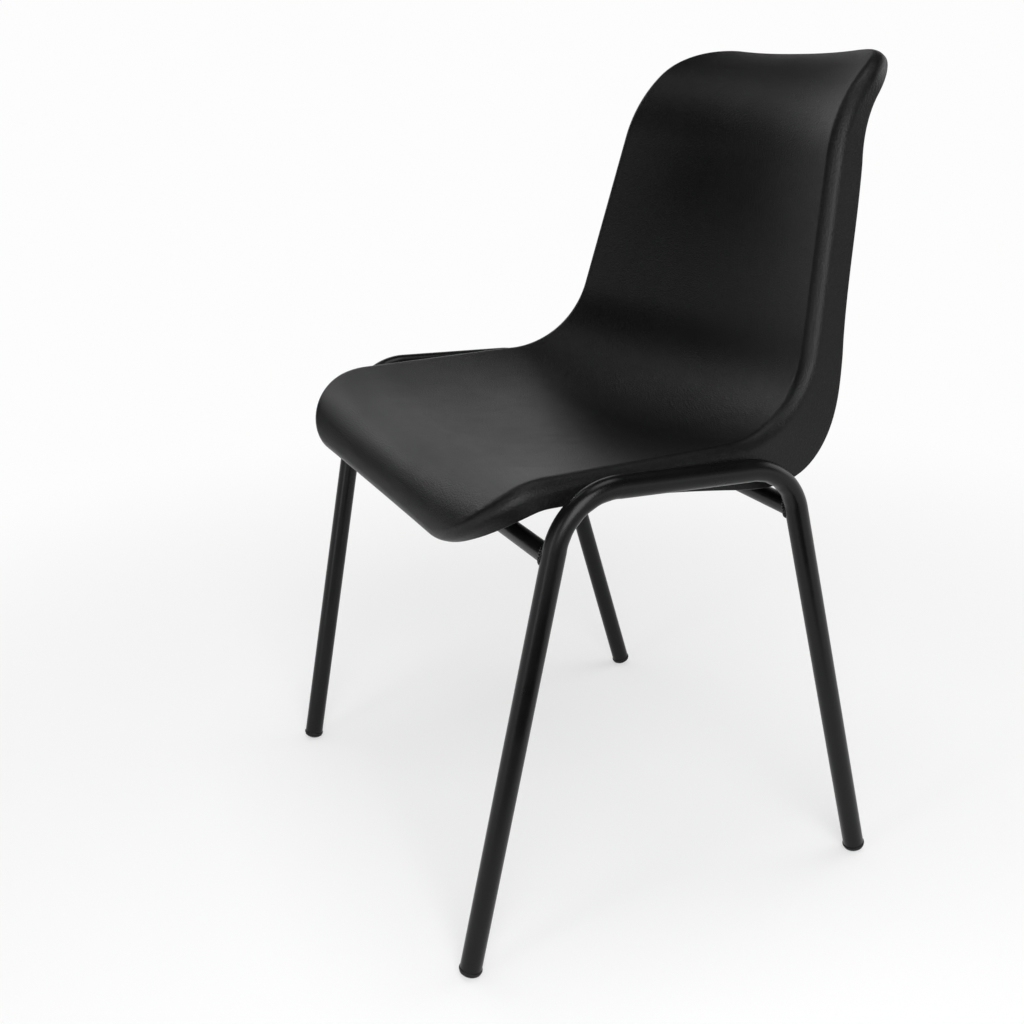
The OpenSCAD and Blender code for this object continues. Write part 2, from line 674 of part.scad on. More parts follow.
foot_glide(false, true);  // rear_left_glide
foot_glide(false, false);  // rear_right_glide
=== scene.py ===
import json
from math import acos, asin, atan, cos, pi, radians, sin, sqrt

import bmesh
import bpy
import numpy as np
from mathutils import Matrix, Quaternion, Vector

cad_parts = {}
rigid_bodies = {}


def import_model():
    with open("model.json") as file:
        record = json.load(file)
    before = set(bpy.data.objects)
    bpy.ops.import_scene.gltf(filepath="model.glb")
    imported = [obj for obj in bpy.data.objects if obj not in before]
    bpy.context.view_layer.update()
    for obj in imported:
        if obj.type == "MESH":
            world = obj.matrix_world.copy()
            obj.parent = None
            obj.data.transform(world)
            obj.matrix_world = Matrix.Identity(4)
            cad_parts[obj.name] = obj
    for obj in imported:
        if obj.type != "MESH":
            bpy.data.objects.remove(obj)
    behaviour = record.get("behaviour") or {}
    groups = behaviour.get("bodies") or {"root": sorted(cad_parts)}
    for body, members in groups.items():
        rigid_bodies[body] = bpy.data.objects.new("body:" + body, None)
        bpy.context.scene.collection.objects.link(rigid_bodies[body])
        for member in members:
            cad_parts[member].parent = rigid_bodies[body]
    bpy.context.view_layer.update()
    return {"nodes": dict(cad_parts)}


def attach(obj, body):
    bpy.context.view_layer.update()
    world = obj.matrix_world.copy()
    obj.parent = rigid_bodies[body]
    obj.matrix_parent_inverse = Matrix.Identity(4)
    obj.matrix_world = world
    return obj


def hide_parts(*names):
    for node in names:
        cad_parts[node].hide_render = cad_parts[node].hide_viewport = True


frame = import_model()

# Lengths are in millimetres up to the point where a mesh or a lamp is made
MM = 0.001

# The middle of the feet, in front of or behind the origin
FEET_MIDDLE_Y = -30.3192


def linked(name, data):
    made = bpy.data.objects.new(name, data)
    bpy.context.scene.collection.objects.link(made)
    return made


# ---- camera

CAMERA_PLACE = (1125.0, -555.0, 776.2)
CAMERA_AZIMUTH, CAMERA_ELEVATION, CAMERA_ROLL = 65.75, 19.8, -1.85
FOCAL_PIXELS, PHOTO_PIXELS, SENSOR_WIDTH = 1305.0, 1024.0, 36.0
CLIP_START, CLIP_END = 0.05, 60


def set_up_camera():
    azimuth, elevation, roll = map(radians, (CAMERA_AZIMUTH, CAMERA_ELEVATION, CAMERA_ROLL))
    back = Vector((sin(azimuth) * cos(elevation),
                   -cos(azimuth) * cos(elevation), sin(elevation)))
    level_right = (-back).cross(Vector((0, 0, 1))).normalized()
    level_up = level_right.cross(-back)
    right = cos(roll) * level_right + sin(roll) * level_up
    up = cos(roll) * level_up - sin(roll) * level_right
    data = bpy.data.cameras.new("photo_camera")
    data.sensor_width = SENSOR_WIDTH
    data.lens = FOCAL_PIXELS * SENSOR_WIDTH / PHOTO_PIXELS
    data.clip_start, data.clip_end = CLIP_START, CLIP_END
    camera = linked("photo_camera", data)
    place = Vector(CAMERA_PLACE) + Vector((0, FEET_MIDDLE_Y, 0))
    turn = Matrix((right, up, back)).transposed()
    camera.matrix_world = Matrix.Translation(place * MM) @ turn.to_4x4()
    bpy.context.scene.camera = camera


set_up_camera()


# ---- materials

class Socket:
    """A value in a material's node tree, with arithmetic that adds Math nodes."""

    def __init__(self, tree, link):
        self.tree, self.link = tree, link

    def _math(self, operation, *values):
        return node(self.tree, "ShaderNodeMath", {"operation": operation}, dict(enumerate(values)))

    def __add__(self, other): return self._math("ADD", self, other)
    __radd__ = __add__
    def __rsub__(self, other): return self._math("SUBTRACT", other, self)
    def __mul__(self, other): return self._math("MULTIPLY", self, other)
    __rmul__ = __mul__
    def __truediv__(self, other): return self._math("DIVIDE", self, other)

    def ramp(self, low, high):
        """0 below low, 1 above high, smooth between them."""
        return node(self.tree, "ShaderNodeMapRange", {"interpolation_type": "SMOOTHSTEP"},
                    {"Value": self, "From Min": low, "From Max": high})


def node(tree, kind, settings=None, inputs=None, output=0):
    """Adds a node: its settings first, then its sockets' values or links. Returns its output."""
    made = tree.nodes.new(kind)
    for name, value in (settings or {}).items():
        setattr(made, name, value)
    for name, value in (inputs or {}).items():
        socket = made.inputs[name]
        if isinstance(value, Socket):
            tree.links.new(value.link, socket)
        else:
            socket.default_value = value
    return Socket(tree, made.outputs[output]) if made.outputs else None


def blank_material(name):
    material = bpy.data.materials.new(name)
    material.use_nodes = True
    material.node_tree.nodes.clear()
    return material, material.node_tree


def finish_material(material, shader):
    node(shader.tree, "ShaderNodeOutputMaterial", None, {"Surface": shader})
    return material


def principled(material, colour, roughness, normal, constants):
    """Ends the material in a Principled shader, with constants in other sockets."""
    return finish_material(material, node(
        colour.tree, "ShaderNodeBsdfPrincipled", None,
        {"Base Color": colour, "Roughness": roughness, "Normal": normal, **constants}))


def noise(place, scale, detail, roughness):
    return node(place.tree, "ShaderNodeTexNoise", None,
                {"Vector": place, "Scale": scale, "Detail": detail, "Roughness": roughness})


def mix_colour(factor, low, high):
    tree = factor.tree
    mixed = tree.nodes.new("ShaderNodeMix")
    mixed.data_type = "RGBA"
    # The colour sockets share their names with others, so they go by number
    for number, value in ((0, factor), (6, low), (7, high)):
        socket = mixed.inputs[number]
        if isinstance(value, Socket):
            tree.links.new(value.link, socket)
        else:
            socket.default_value = value
    return Socket(tree, mixed.outputs[2])


def grey(value, blue=1.0):
    return (value, value, value * blue, 1.0)


def object_place(tree):
    return node(tree, "ShaderNodeTexCoord", None, None, "Object")


def bump(height, distance, strength):
    return node(height.tree, "ShaderNodeBump", None,
                {"Height": height, "Distance": distance, "Strength": strength})


# The black pieces reflect less than most plastics do, as white all round would turn them grey
SHELL_GLOSS = {"Specular IOR Level": 0.22}
COAT_GLOSS = {"Specular IOR Level": 0.23}


def grained_plastic():
    """The shell: near black polypropylene with a fine moulded grain, a little paler on its peaks."""
    material, tree = blank_material("grained_polypropylene")
    place = object_place(tree)
    pits = noise(place, 1500.0, 2.0, 0.55)
    pebbles = noise(place, 620.0, 2.0, 0.5)
    flow = noise(place, 9.0, 3.0, 0.55)
    handled = noise(place, 38.0, 4.0, 0.6)
    grain = pits * 0.35 + pebbles * 0.65
    colour = mix_colour(flow.ramp(0.35, 0.65), grey(0.0020, 1.04), grey(0.0028, 1.06))
    colour = mix_colour(grain.ramp(0.52, 0.68) * 0.6, colour, grey(0.009, 1.04))
    wear = flow.ramp(0.3, 0.7) * 0.03 + handled.ramp(0.45, 0.75) * 0.03
    roughness = 0.305 + wear + grain * 0.1
    return principled(material, colour, roughness, bump(grain, 0.00055, 1.0), SHELL_GLOSS)


def powder_coat():
    """The frame: black powder coat, semi-gloss, with a faint orange peel and a few dust specks."""
    material, tree = blank_material("black_powder_coat")
    place = object_place(tree)
    peel = noise(place, 420.0, 2.0, 0.5)
    specks = noise(place, 1300.0, 1.0, 0.4)
    drift = noise(place, 14.0, 3.0, 0.6)
    colour = mix_colour(drift.ramp(0.35, 0.7), grey(0.0018, 1.05), grey(0.0028, 1.08))
    colour = mix_colour(specks.ramp(0.7, 0.8), colour, grey(0.008))
    roughness = 0.27 + drift.ramp(0.3, 0.75) * 0.07 + specks.ramp(0.66, 0.8) * 0.12
    return principled(material, colour, roughness, bump(peel, 0.00010, 0.5), COAT_GLOSS)


def glide_plastic():
    """The glides: smooth black nylon, scuffed and paler towards the sole."""
    material, tree = blank_material("scuffed_nylon")
    place = object_place(tree)
    height = node(tree, "ShaderNodeSeparateXYZ", None, {"Vector": place}, "Z")
    scuffs = noise(place, 700.0, 3.0, 0.65)
    worn = scuffs.ramp(0.42, 0.62) * (1 - height.ramp(0.0, 0.005))
    colour = mix_colour(worn, grey(0.005), grey(0.035))
    roughness = 0.36 + worn * 0.25
    return principled(material, colour, roughness, bump(scuffs, 0.00012, 0.4), COAT_GLOSS)


def bright_zinc():
    """Screws and washers: bright zinc plate, with a fine tumble texture."""
    material, tree = blank_material("bright_zinc")
    place = object_place(tree)
    tumble = noise(place, 900.0, 3.0, 0.6)
    cloud = noise(place, 160.0, 2.0, 0.5)
    colour = mix_colour(cloud.ramp(0.35, 0.7), (0.50, 0.52, 0.55, 1), (0.66, 0.67, 0.68, 1))
    roughness = 0.26 + tumble * 0.16
    return principled(material, colour, roughness, bump(tumble, 0.00006, 0.5),
                      {"Metallic": 1.0})


def turned_brass():
    """Inserts: turned brass, with fine rings across the axis."""
    material, tree = blank_material("turned_brass")
    place = object_place(tree)
    rings = node(tree, "ShaderNodeTexWave", {"bands_direction": "Z"},
                 {"Vector": place, "Scale": 420.0, "Distortion": 0.6})
    colour = mix_colour(rings, (0.55, 0.39, 0.16, 1), (0.70, 0.53, 0.26, 1))
    roughness = 0.28 + rings * 0.1
    return principled(material, colour, roughness, bump(rings, 0.00005, 0.5),
                      {"Metallic": 1.0})


PLASTIC, COAT, NYLON = grained_plastic(), powder_coat(), glide_plastic()
ZINC, BRASS = bright_zinc(), turned_brass()


# ---- meshes

# Faces that meet at less than this many degrees are shaded as one surface
SMOOTH_ANGLE, SHELL_SMOOTH, BOSS_SMOOTH, BEAD_SMOOTH, GLIDE_SMOOTH = 35.0, 60.0, 40.0, 60.0, 28.0
# Points nearer than this are one, in metres
MERGE_DISTANCE = 1e-6


def in_metres(points):
    """The scene's places for points in millimetres in the frame of the feet."""
    return (np.asarray(points, float) + [0, FEET_MIDDLE_Y, 0]) * MM


def new_mesh(name, points, faces, material):
    mesh = bpy.data.meshes.new(name)
    mesh.from_pydata(points.tolist(), [], [tuple(int(i) for i in f) for f in faces])
    mesh.materials.append(material)
    return mesh


def finish_mesh(piece, smooth_angle=SMOOTH_ANGLE, turn_out=False):
    """Shades the piece smooth up to an angle, and can first merge its points and turn its faces out."""
    mesh = piece.data
    if turn_out:
        work = bmesh.new()
        work.from_mesh(mesh)
        bmesh.ops.remove_doubles(work, verts=work.verts, dist=MERGE_DISTANCE)
        bmesh.ops.recalc_face_normals(work, faces=work.faces)
        work.to_mesh(mesh)
        work.free()
    mesh.shade_smooth()
    mesh.set_sharp_from_angle(angle=radians(smooth_angle))
    return piece


def solid_piece(name, points, faces, material, smooth_angle=SMOOTH_ANGLE):
    """A piece from points in millimetres in the frame of the feet."""
    mesh = new_mesh(name, in_metres(points), faces, material)
    mesh.validate()
    return finish_mesh(linked(name, mesh), smooth_angle, turn_out=True)


def dress(piece, slot, *nodes):
    """The piece rides on the chair's one body and stands for its CAD nodes."""
    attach(piece, "root")
    if nodes:
        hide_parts(*nodes)
    return piece


def joined(parts):
    """Several (points, faces) as one."""
    points, faces, start = [], [], 0
    for part_points, part_faces in parts:
        points.append(np.asarray(part_points, float))
        faces += [tuple(i + start for i in f) for f in part_faces]
        start += len(part_points)
    return np.concatenate(points), faces


def round_turn(count):
    return np.linspace(0, 2 * pi, count, endpoint=False)


def ring(angles, r, z, x=0.0, y=0.0):
    """A level ring of points about x, y."""
    return np.stack([x + r * np.cos(angles), y + r * np.sin(angles), z + 0 * angles], -1)


def lofted(rings, looped=False):
    """A closed skin through rings of equal count, with a point at each end or looped to its start."""
    rings = np.asarray(rings, float)
    count, sides = rings.shape[:2]
    around = [(a, (a + 1) % sides) for a in range(sides)]
    faces = []
    for low in range(count if looped else count - 1):
        high = (low + 1) % count
        faces += [(low * sides + a, low * sides + b, high * sides + b, high * sides + a)
                  for a, b in around]
    points = rings.reshape(-1, 3)
    if looped:
        return points, faces
    first_tip, last_tip, last = count * sides, count * sides + 1, (count - 1) * sides
    for a, b in around:
        faces += [(first_tip, b, a), (last_tip, last + a, last + b)]
    return np.concatenate([points, rings[:1].mean(1), rings[-1:].mean(1)]), faces


# ---- the moulded shell

SEAT_CREST_H, LEVEL_START_Y, SEAT_LEVEL = 444.5, 119.0, 178.0
WATERFALL_R, WATERFALL_TURN, HIP_R, BACK_LEAN = 81.0, 68.5, 90.0, 13.3
BACK_STRAIGHT, FLARE_R, FLARE_TURN = 165.5, 123.0, 61.0
SEAT_W, TOP_W, FRONT_CORNER_R, TOP_CORNER_R = 440.0, 301.5, 75.0, 57.5
SEAT_DISH, HIP_DISH, BACK_DISH, FRONT_DISH, TOP_DISH = 17.0, 30.0, 27.0, 2.0, 9.5
SEAT_SKIRT, TURN_SKIRT, HIP_SKIRT = 12.5, 27.5, 44.0
BACK_SKIRT, FLARE_SKIRT, TOP_SKIRT = 24.5, 18.5, 6.0
WALL, CREST_R, BAND_W, SHOULDER_R = 4.5, 10.0, 2.0, 11.0
EDGE_CREST_R, EDGE_BAND, EDGE_SHOULDER_R, FRONT_LIP, TOP_LIP = 6.0, 1.5, 9.0, 1.5, 1.5
DISH_POWER, TAPER_EASE = 2.4, 40.0
CREST_START, BAND_ANGLE, SKIRT_ANGLE = -15.0, 42.0, 86.0
TOP_BAND_ANGLE, TOP_LIP_ANGLE = 28.0, 36.0
# The shell's mesh: cells of its face, then the rings round its rim and the places of some
ACROSS, ALONG, CREST_RINGS, SHOULDER_RINGS = 96, 176, 9, 8
BAND_PLACES, SKIRT_PLACES = (0.35, 0.7), (0.17, 0.34, 0.5, 0.67, 0.84, 1.0)
EDGE_RINGS, EDGE_ROUND = 5, 1.3
# Handles of the curve from the face to the band, as a share of its chord
CREST_HANDLE = 0.36
# Degrees of a corner that belong to the side, and to the end
HALF_CORNER = 45


def arc_length(r, turn):
    return r * radians(turn)


S_SEAT = arc_length(WATERFALL_R, WATERFALL_TURN)
S_HIP = S_SEAT + SEAT_LEVEL
HIP_LEN = arc_length(HIP_R, 90 - BACK_LEAN)
S_BACK = S_HIP + HIP_LEN
S_FLARE = S_BACK + BACK_STRAIGHT
S_TOP = S_FLARE + arc_length(FLARE_R, FLARE_TURN)
# Places along the seat, the hip and the back where the tables have a row, as shares of their length
DEEP_SEAT, DEEP_HIP, DEEP_BACK, GROWING_SKIRT, DEEP_SKIRT = 0.5, 0.55, 0.5, 0.4, 0.44
# Shares of the seat's dish where the seat starts, and of the skirt's growth where it grows
START_DISH, SKIRT_GROWTH = 0.85, 0.12
DISH_ROWS = [(0, FRONT_DISH), (S_SEAT, SEAT_DISH * START_DISH),
             (S_SEAT + SEAT_LEVEL * DEEP_SEAT, SEAT_DISH), (S_HIP + HIP_LEN * DEEP_HIP, HIP_DISH),
             (S_BACK + BACK_STRAIGHT * DEEP_BACK, BACK_DISH), (S_FLARE, BACK_DISH), (S_TOP, TOP_DISH)]
SKIRT_ROWS = [(0, SEAT_SKIRT), (S_SEAT, SEAT_SKIRT),
              (S_SEAT + SEAT_LEVEL * GROWING_SKIRT, SEAT_SKIRT
               + (TURN_SKIRT - SEAT_SKIRT) * SKIRT_GROWTH),
              (S_HIP, TURN_SKIRT), (S_HIP + HIP_LEN * DEEP_SKIRT, HIP_SKIRT), (S_BACK, BACK_SKIRT),
              (S_FLARE, FLARE_SKIRT), (S_TOP, TOP_SKIRT)]


def smooth_lookup(s, rows):
    """A smooth curve through the rows (place, value), level at both ends."""
    places, values = (np.array(column, float) for column in zip(*rows))
    slopes = np.zeros(len(places))
    slopes[1:-1] = (values[2:] - values[:-2]) / (places[2:] - places[:-2])
    s = np.asarray(s, float)
    i = np.clip(np.searchsorted(places, s) - 1, 0, len(places) - 2)
    step = places[i + 1] - places[i]
    t = np.clip((s - places[i]) / step, 0, 1)
    rise = t * t * (3 - 2 * t)
    return ((1 - rise) * values[i] + rise * values[i + 1]
            + t * (1 - t) * step * ((1 - t) * slopes[i] - t * slopes[i + 1]))


def along_arc(start, r, length):
    """Place and direction after a length of arc from a start, each as (y, z, angle)."""
    turn = length / r
    return np.stack([start[0] + r * (np.sin(start[2] + turn) - np.sin(start[2])),
                     start[1] - r * (np.cos(start[2] + turn) - np.cos(start[2])), start[2] + turn], -1)


def along_line(start, length):
    return np.stack([start[0] + length * np.cos(start[2]), start[1] + length * np.sin(start[2]),
                     start[2] + 0 * length], -1)


LEVEL_START = np.array([-LEVEL_START_Y, SEAT_CREST_H, 0.0])
HIP_START = along_line(LEVEL_START, SEAT_LEVEL)
BACK_START = along_arc(HIP_START, HIP_R, HIP_LEN)
FLARE_START = along_line(BACK_START, BACK_STRAIGHT)


def crest(s):
    """Place and direction (y, z, angle) of the crest's profile at a length s from the front edge."""
    s = np.asarray(s, float)
    profile = along_arc(LEVEL_START, -WATERFALL_R, s - S_SEAT)
    for start, piece in ((S_SEAT, along_line(LEVEL_START, s - S_SEAT)),
                         (S_HIP, along_arc(HIP_START, HIP_R, s - S_HIP)),
                         (S_BACK, along_line(BACK_START, s - S_BACK)),
                         (S_FLARE, along_arc(FLARE_START, -FLARE_R, s - S_FLARE))):
        profile = np.where((s >= start)[..., None], piece, profile)
    return profile


def half_width(s):
    """Half the crest's width: even along the seat, then tapering, with an eased start."""
    d = np.asarray(s, float) - S_HIP
    taper = (SEAT_W - TOP_W) / 2 / (S_TOP - S_HIP)
    eased = (d + TAPER_EASE) ** 2 / (4 * TAPER_EASE)
    return SEAT_W / 2 - taper * np.where(d <= -TAPER_EASE, 0, np.where(d >= TAPER_EASE, d, eased))


def dish_at(s, x):
    return smooth_lookup(s, DISH_ROWS) * (1 - np.minimum(1, np.abs(x) / half_width(s)) ** DISH_POWER)


def placed(s, x, depth):
    """The point at s along the profile and x across, a depth below or behind it."""
    c = crest(s)
    return np.stack([x + 0 * c[..., 0], c[..., 0] + depth * np.sin(c[..., 2]),
                     c[..., 1] - depth * np.cos(c[..., 2])], -1)


def corner_point(end, r, phi, sign):
    """A point (s, x, phi) of a corner: phi is 0 at the chair's end and a right angle at its side."""
    s = r - r * cos(phi) if end == 0 else S_TOP - r + r * cos(phi)
    return s, sign * (float(half_width(s)) - r + r * sin(phi)), phi


def end_point(end, r, half, t):
    """A point of the front or top edge and its half corners, t from -1 to 1."""
    length = abs(t) * (half + arc_length(r, HALF_CORNER))
    sign = -1 if t < 0 else 1
    if length <= half:
        return end, sign * length, 0.0
    return corner_point(end, r, (length - half) / r, sign)


def side_point(v, sign):
    """A point of a side and its half corners, v from 0 to 1."""
    front_arc, top_arc = (arc_length(r, HALF_CORNER) for r in (FRONT_CORNER_R, TOP_CORNER_R))
    line = S_TOP - FRONT_CORNER_R - TOP_CORNER_R
    length = v * (front_arc + line + top_arc)
    if length < front_arc:
        return corner_point(0, FRONT_CORNER_R, pi / 4 + length / FRONT_CORNER_R, sign)
    if length <= front_arc + line:
        s = FRONT_CORNER_R + length - front_arc
        return s, sign * float(half_width(s)), pi / 2
    phi = pi / 2 - (length - front_arc - line) / TOP_CORNER_R
    return corner_point(S_TOP, TOP_CORNER_R, phi, sign)


def rolled(r, start, end):
    """The step [out, down] round an arc that turns from one angle below level to another."""
    return np.reshape(r, (-1, 1)) * np.stack([np.sin(end) - np.sin(start),
                                              np.cos(start) - np.cos(end)], -1)


def toward(angle):
    """The direction [out, down] at an angle below level."""
    return np.stack([np.cos(angle), np.sin(angle)], -1)


def rim_section(side, band, depth, over, down, face_slope):
    """The rim's section at each place of the outline as [out, down], from face to skirt's end."""
    low = np.full(len(band), radians(CREST_START))
    crest_end = rolled(EDGE_CREST_R + (CREST_R - EDGE_CREST_R) * side, low, over)
    handle = CREST_HANDLE * np.linalg.norm(crest_end, axis=-1)[:, None]
    first, second = handle * toward(face_slope), crest_end - handle * toward(over)
    section = []
    for t in np.linspace(0, 1, CREST_RINGS):
        section.append(3 * (1 - t) ** 2 * t * first + 3 * (1 - t) * t * t * second
                       + t ** 3 * crest_end)
    band_end = crest_end + band[:, None] * toward(over)
    shoulder = EDGE_SHOULDER_R + (SHOULDER_R - EDGE_SHOULDER_R) * side
    section += [crest_end + t * band[:, None] * toward(over) for t in BAND_PLACES]
    for t in np.linspace(0, 1, SHOULDER_RINGS):
        section.append(band_end + rolled(shoulder, over, over + t * (down - over)))
    skirt_start = section[-1]
    section += [skirt_start + t * depth[:, None] * toward(down) for t in SKIRT_PLACES]
    return np.stack(section, 1)


def shell_mesh():
    """The moulded skin: a grid for the face, rings for the rim, and the same again one wall below."""
    fronts, tops = (np.array([end_point(end, r, width / 2 - r, 2 * j / ACROSS - 1)
                              for j in range(ACROSS + 1)])
                    for end, r, width in ((0, FRONT_CORNER_R, SEAT_W), (S_TOP, TOP_CORNER_R, TOP_W)))
    lefts, rights = (np.array([side_point(i / ALONG, sign) for i in range(ALONG + 1)])
                     for sign in (-1, 1))
    u = (np.arange(ACROSS + 1) / ACROSS)[None, :, None]
    v = (np.arange(ALONG + 1) / ALONG)[:, None, None]
    flat = ((1 - v) * fronts[None] + v * tops[None] + (1 - u) * lefts[:, None] + u * rights[:, None]
            - (1 - u) * (1 - v) * fronts[0] - u * (1 - v) * fronts[-1]
            - (1 - u) * v * tops[0] - u * v * tops[-1])[..., :2]
    face = placed(flat[..., 0], flat[..., 1], dish_at(flat[..., 0], flat[..., 1]))

    # The outline round the rim, and which end of the profile each place looks to
    outline = np.concatenate([fronts[:-1], rights[:-1], tops[:0:-1], lefts[:0:-1]])
    ways = np.concatenate([-np.ones(ACROSS), np.where(np.arange(ALONG) < ALONG / 2, -1, 1),
                           np.ones(ACROSS), np.where(np.arange(ALONG) < ALONG / 2, 1, -1)])
    count = len(outline)
    s, x, phi = outline.T
    sign = np.where(x < 0, -1, 1)
    out_s, out_x = np.cos(phi) * ways, np.sin(phi) * sign
    step = 0.5
    slope = np.arctan((dish_at(s, x) - dish_at(s - step * out_s, x - step * out_x)) / step)
    side = np.sin(phi) ** 2
    top = ways > 0
    band = EDGE_BAND + (BAND_W - EDGE_BAND) * side
    lip = np.where(top, TOP_LIP, FRONT_LIP)
    depth = lip + (smooth_lookup(s, SKIRT_ROWS) - lip) * side
    over = np.where(top, radians(TOP_BAND_ANGLE) + radians(BAND_ANGLE - TOP_BAND_ANGLE) * side,
                    radians(BAND_ANGLE))
    down = np.where(top, radians(TOP_LIP_ANGLE) + radians(SKIRT_ANGLE - TOP_LIP_ANGLE) * side,
                    radians(SKIRT_ANGLE))
    section = rim_section(side, band, depth, over, down, slope)
    rim = placed(s[:, None] + section[..., 0] * out_s[:, None],
                 x[:, None] + section[..., 0] * out_x[:, None],
                 dish_at(s, x)[:, None] + section[..., 1])
    rings = rim.shape[1]

    # One skin: the inside of the grid, then the rim's rings
    inner = np.arange((ALONG - 1) * (ACROSS - 1)).reshape(ALONG - 1, ACROSS - 1)
    start = inner.size
    index = np.zeros((ALONG + 1, ACROSS + 1), int)
    index[1:-1, 1:-1] = inner
    index[0, :-1] = start + np.arange(ACROSS)
    index[:-1, -1] = start + ACROSS + np.arange(ALONG)
    index[-1, :0:-1] = start + ACROSS + ALONG + np.arange(ACROSS)
    index[:0:-1, 0] = start + 2 * ACROSS + ALONG + np.arange(ALONG)
    skin = np.concatenate([face[1:-1, 1:-1].reshape(-1, 3), rim.transpose(1, 0, 2).reshape(-1, 3)])
    quads = [np.stack([index[:-1, :-1], index[:-1, 1:], index[1:, 1:], index[1:, :-1]],
                      -1).reshape(-1, 4)]
    m = np.arange(count)
    following = (m + 1) % count
    for k in range(rings - 1):
        low, high = start + k * count, start + (k + 1) * count
        quads.append(np.stack([low + following, low + m, high + m, high + following], -1))
    quads = np.concatenate(quads)

    # Normals of the skin, pointing to the sitter's side
    corners = skin[quads]
    crossed = np.cross(corners[:, 2] - corners[:, 0], corners[:, 3] - corners[:, 1])
    normal = np.zeros_like(skin)
    for corner in range(4):
        np.add.at(normal, quads[:, corner], crossed)
    normal /= np.linalg.norm(normal, axis=1)[:, None]

    # The skirt's end is rounded on both its edges
    last = start + (rings - 1) * count + m
    before = last - count
    end, inward = skin[last].copy(), -normal[last]
    run = end - skin[before]
    run /= np.linalg.norm(run, axis=1)[:, None]
    skin[last] = end - EDGE_ROUND * run
    edge, turns = [], np.linspace(0, pi / 2, EDGE_RINGS)
    for turn in turns[1:]:
        edge.append(end - EDGE_ROUND * (1 - sin(turn)) * run
                    + EDGE_ROUND * (1 - cos(turn)) * inward)
    for turn in turns[:-1]:
        edge.append(end - EDGE_ROUND * (1 - cos(turn)) * run
                    + (WALL - EDGE_ROUND * (1 - sin(turn))) * inward)
    back = skin - WALL * normal
    total = len(skin)
    points = np.concatenate([skin, back] + edge)
    closing = [last] + [2 * total + e * count + m for e in range(len(edge))] + [last + total]
    faces = [quads, (quads + total)[:, ::-1]]
    for low, high in zip(closing, closing[1:]):
        faces.append(np.stack([np.roll(low, -1), low, high, np.roll(high, -1)], -1))
    return points, np.concatenate(faces)


# ---- frame places

TUBE_D, TUBE_WALL, BEND_R = 20.0, 1.5, 57.0
FOOT_DEPTH, FOOT_WIDTH, RAIL_GAP = 423.0, 477.0, 4.0
FRONT_KNEE, REAR_KNEE = (-114.0, 438.5), (101.0, 426.5)
CROSS_D, CROSS_WALL, CROSS_Z = 17.0, 1.5, 384.0
PLATE_W, PLATE_LEN, PLATE_LAP, PLATE_CORNER_R, PLATE_T = 36.0, 44.0, 11.0, 6.0, 3.0
SCREW_X, SCREW_REACH, SCREW_TURNS = 110.0, 21.0, (0.3, 1.1, 0.75, 1.9)
WASHER_D, WASHER_T, SCREW_HOLE_D = 16.0, 1.6, 6.6
SCREW_D, SCREW_LEN, SCREW_HEAD_D, SCREW_HEAD_H = 6.0, 20.0, 12.0, 3.6
SOCKET_AF, SOCKET_DEPTH = 4.0, 2.2
INSERT_D, BOSS_D, POCKET_SPARE, POCKET_TIP = 9.0, 24.0, 1.0, 0.4
# The boss's root: radius, and share of the way from the boss's face to the middle of the wall
BOSS_ROOT = [(12.4, 0.4), (12.8, 0.66), (13.4, 0.78), (14.6, 0.86), (16.6, 0.91), (18.5, 0.935),
             (18.5, 1.0), (9.0, 1.0)]
GLIDE_RING_D, GLIDE_RING_H, GLIDE_BASE_D, GLIDE_BAND_H = 21.4, 2.6, 20.0, 1.5
GLIDE_DOME_R, GLIDE_FLAT = 14.0, 0.4
SPIGOT_LEN, SPIGOT_CLEARANCE, SPIGOT_TAPER = 22.0, 0.1, 1.5
# Soft edges of the plates and their holes, and how far along such an edge its middle ring lies
PLATE_SOFT, HOLE_SOFT, SOFT_MIDDLE = 0.7, 0.3, 0.3
# A pressed bend: shares that its inside and outside give way, its ripples and how they fade
PRESS_IN, PRESS_OUT, RIPPLE, RIPPLE_TURNS, RIPPLE_FADE = 0.13, 0.04, 0.22, 4.5, 0.8
# Weld beads: ripple, pitch and the points that draw a ripple, then widths and places
BEAD_RIPPLE, BEAD_PITCH, RIPPLE_POINTS = 0.16, 2.1, 6
JOINT_BEAD_W, JOINT_BEAD_IN = 4.2, 0.5
PLATE_BEAD_W, PLATE_BEAD_Y, PLATE_BEAD_DROP, PLATE_BEAD_POINTS = 3.2, 4.6, 0.9, 24
# Sides of the round pieces
FRAME_SIDES, CROSS_SIDES, BEAD_SIDES, BEND_RINGS = 72, 64, 14, 30
JOINT_SIDES, BOSS_SIDES, SCREW_SIDES, WASHER_SIDES, GLIDE_SIDES = 72, 64, 48, 64, 72

CREST_TURN, BAND_TURN, SKIRT_TURN = map(radians, (CREST_START, BAND_ANGLE, SKIRT_ANGLE))
RIM_REACH = (CREST_R * (sin(BAND_TURN) - sin(CREST_TURN)) + BAND_W * cos(BAND_TURN)
             + SHOULDER_R * (sin(SKIRT_TURN) - sin(BAND_TURN))
             + HIP_SKIRT * cos(SKIRT_TURN))
RAIL_WIDTH = SEAT_W + 2 * (RIM_REACH + RAIL_GAP) + TUBE_D
RAIL_Z = (FRONT_KNEE[1] + REAR_KNEE[1]) / 2
LEAN = atan((RAIL_WIDTH - FOOT_WIDTH) / 2 / RAIL_Z)


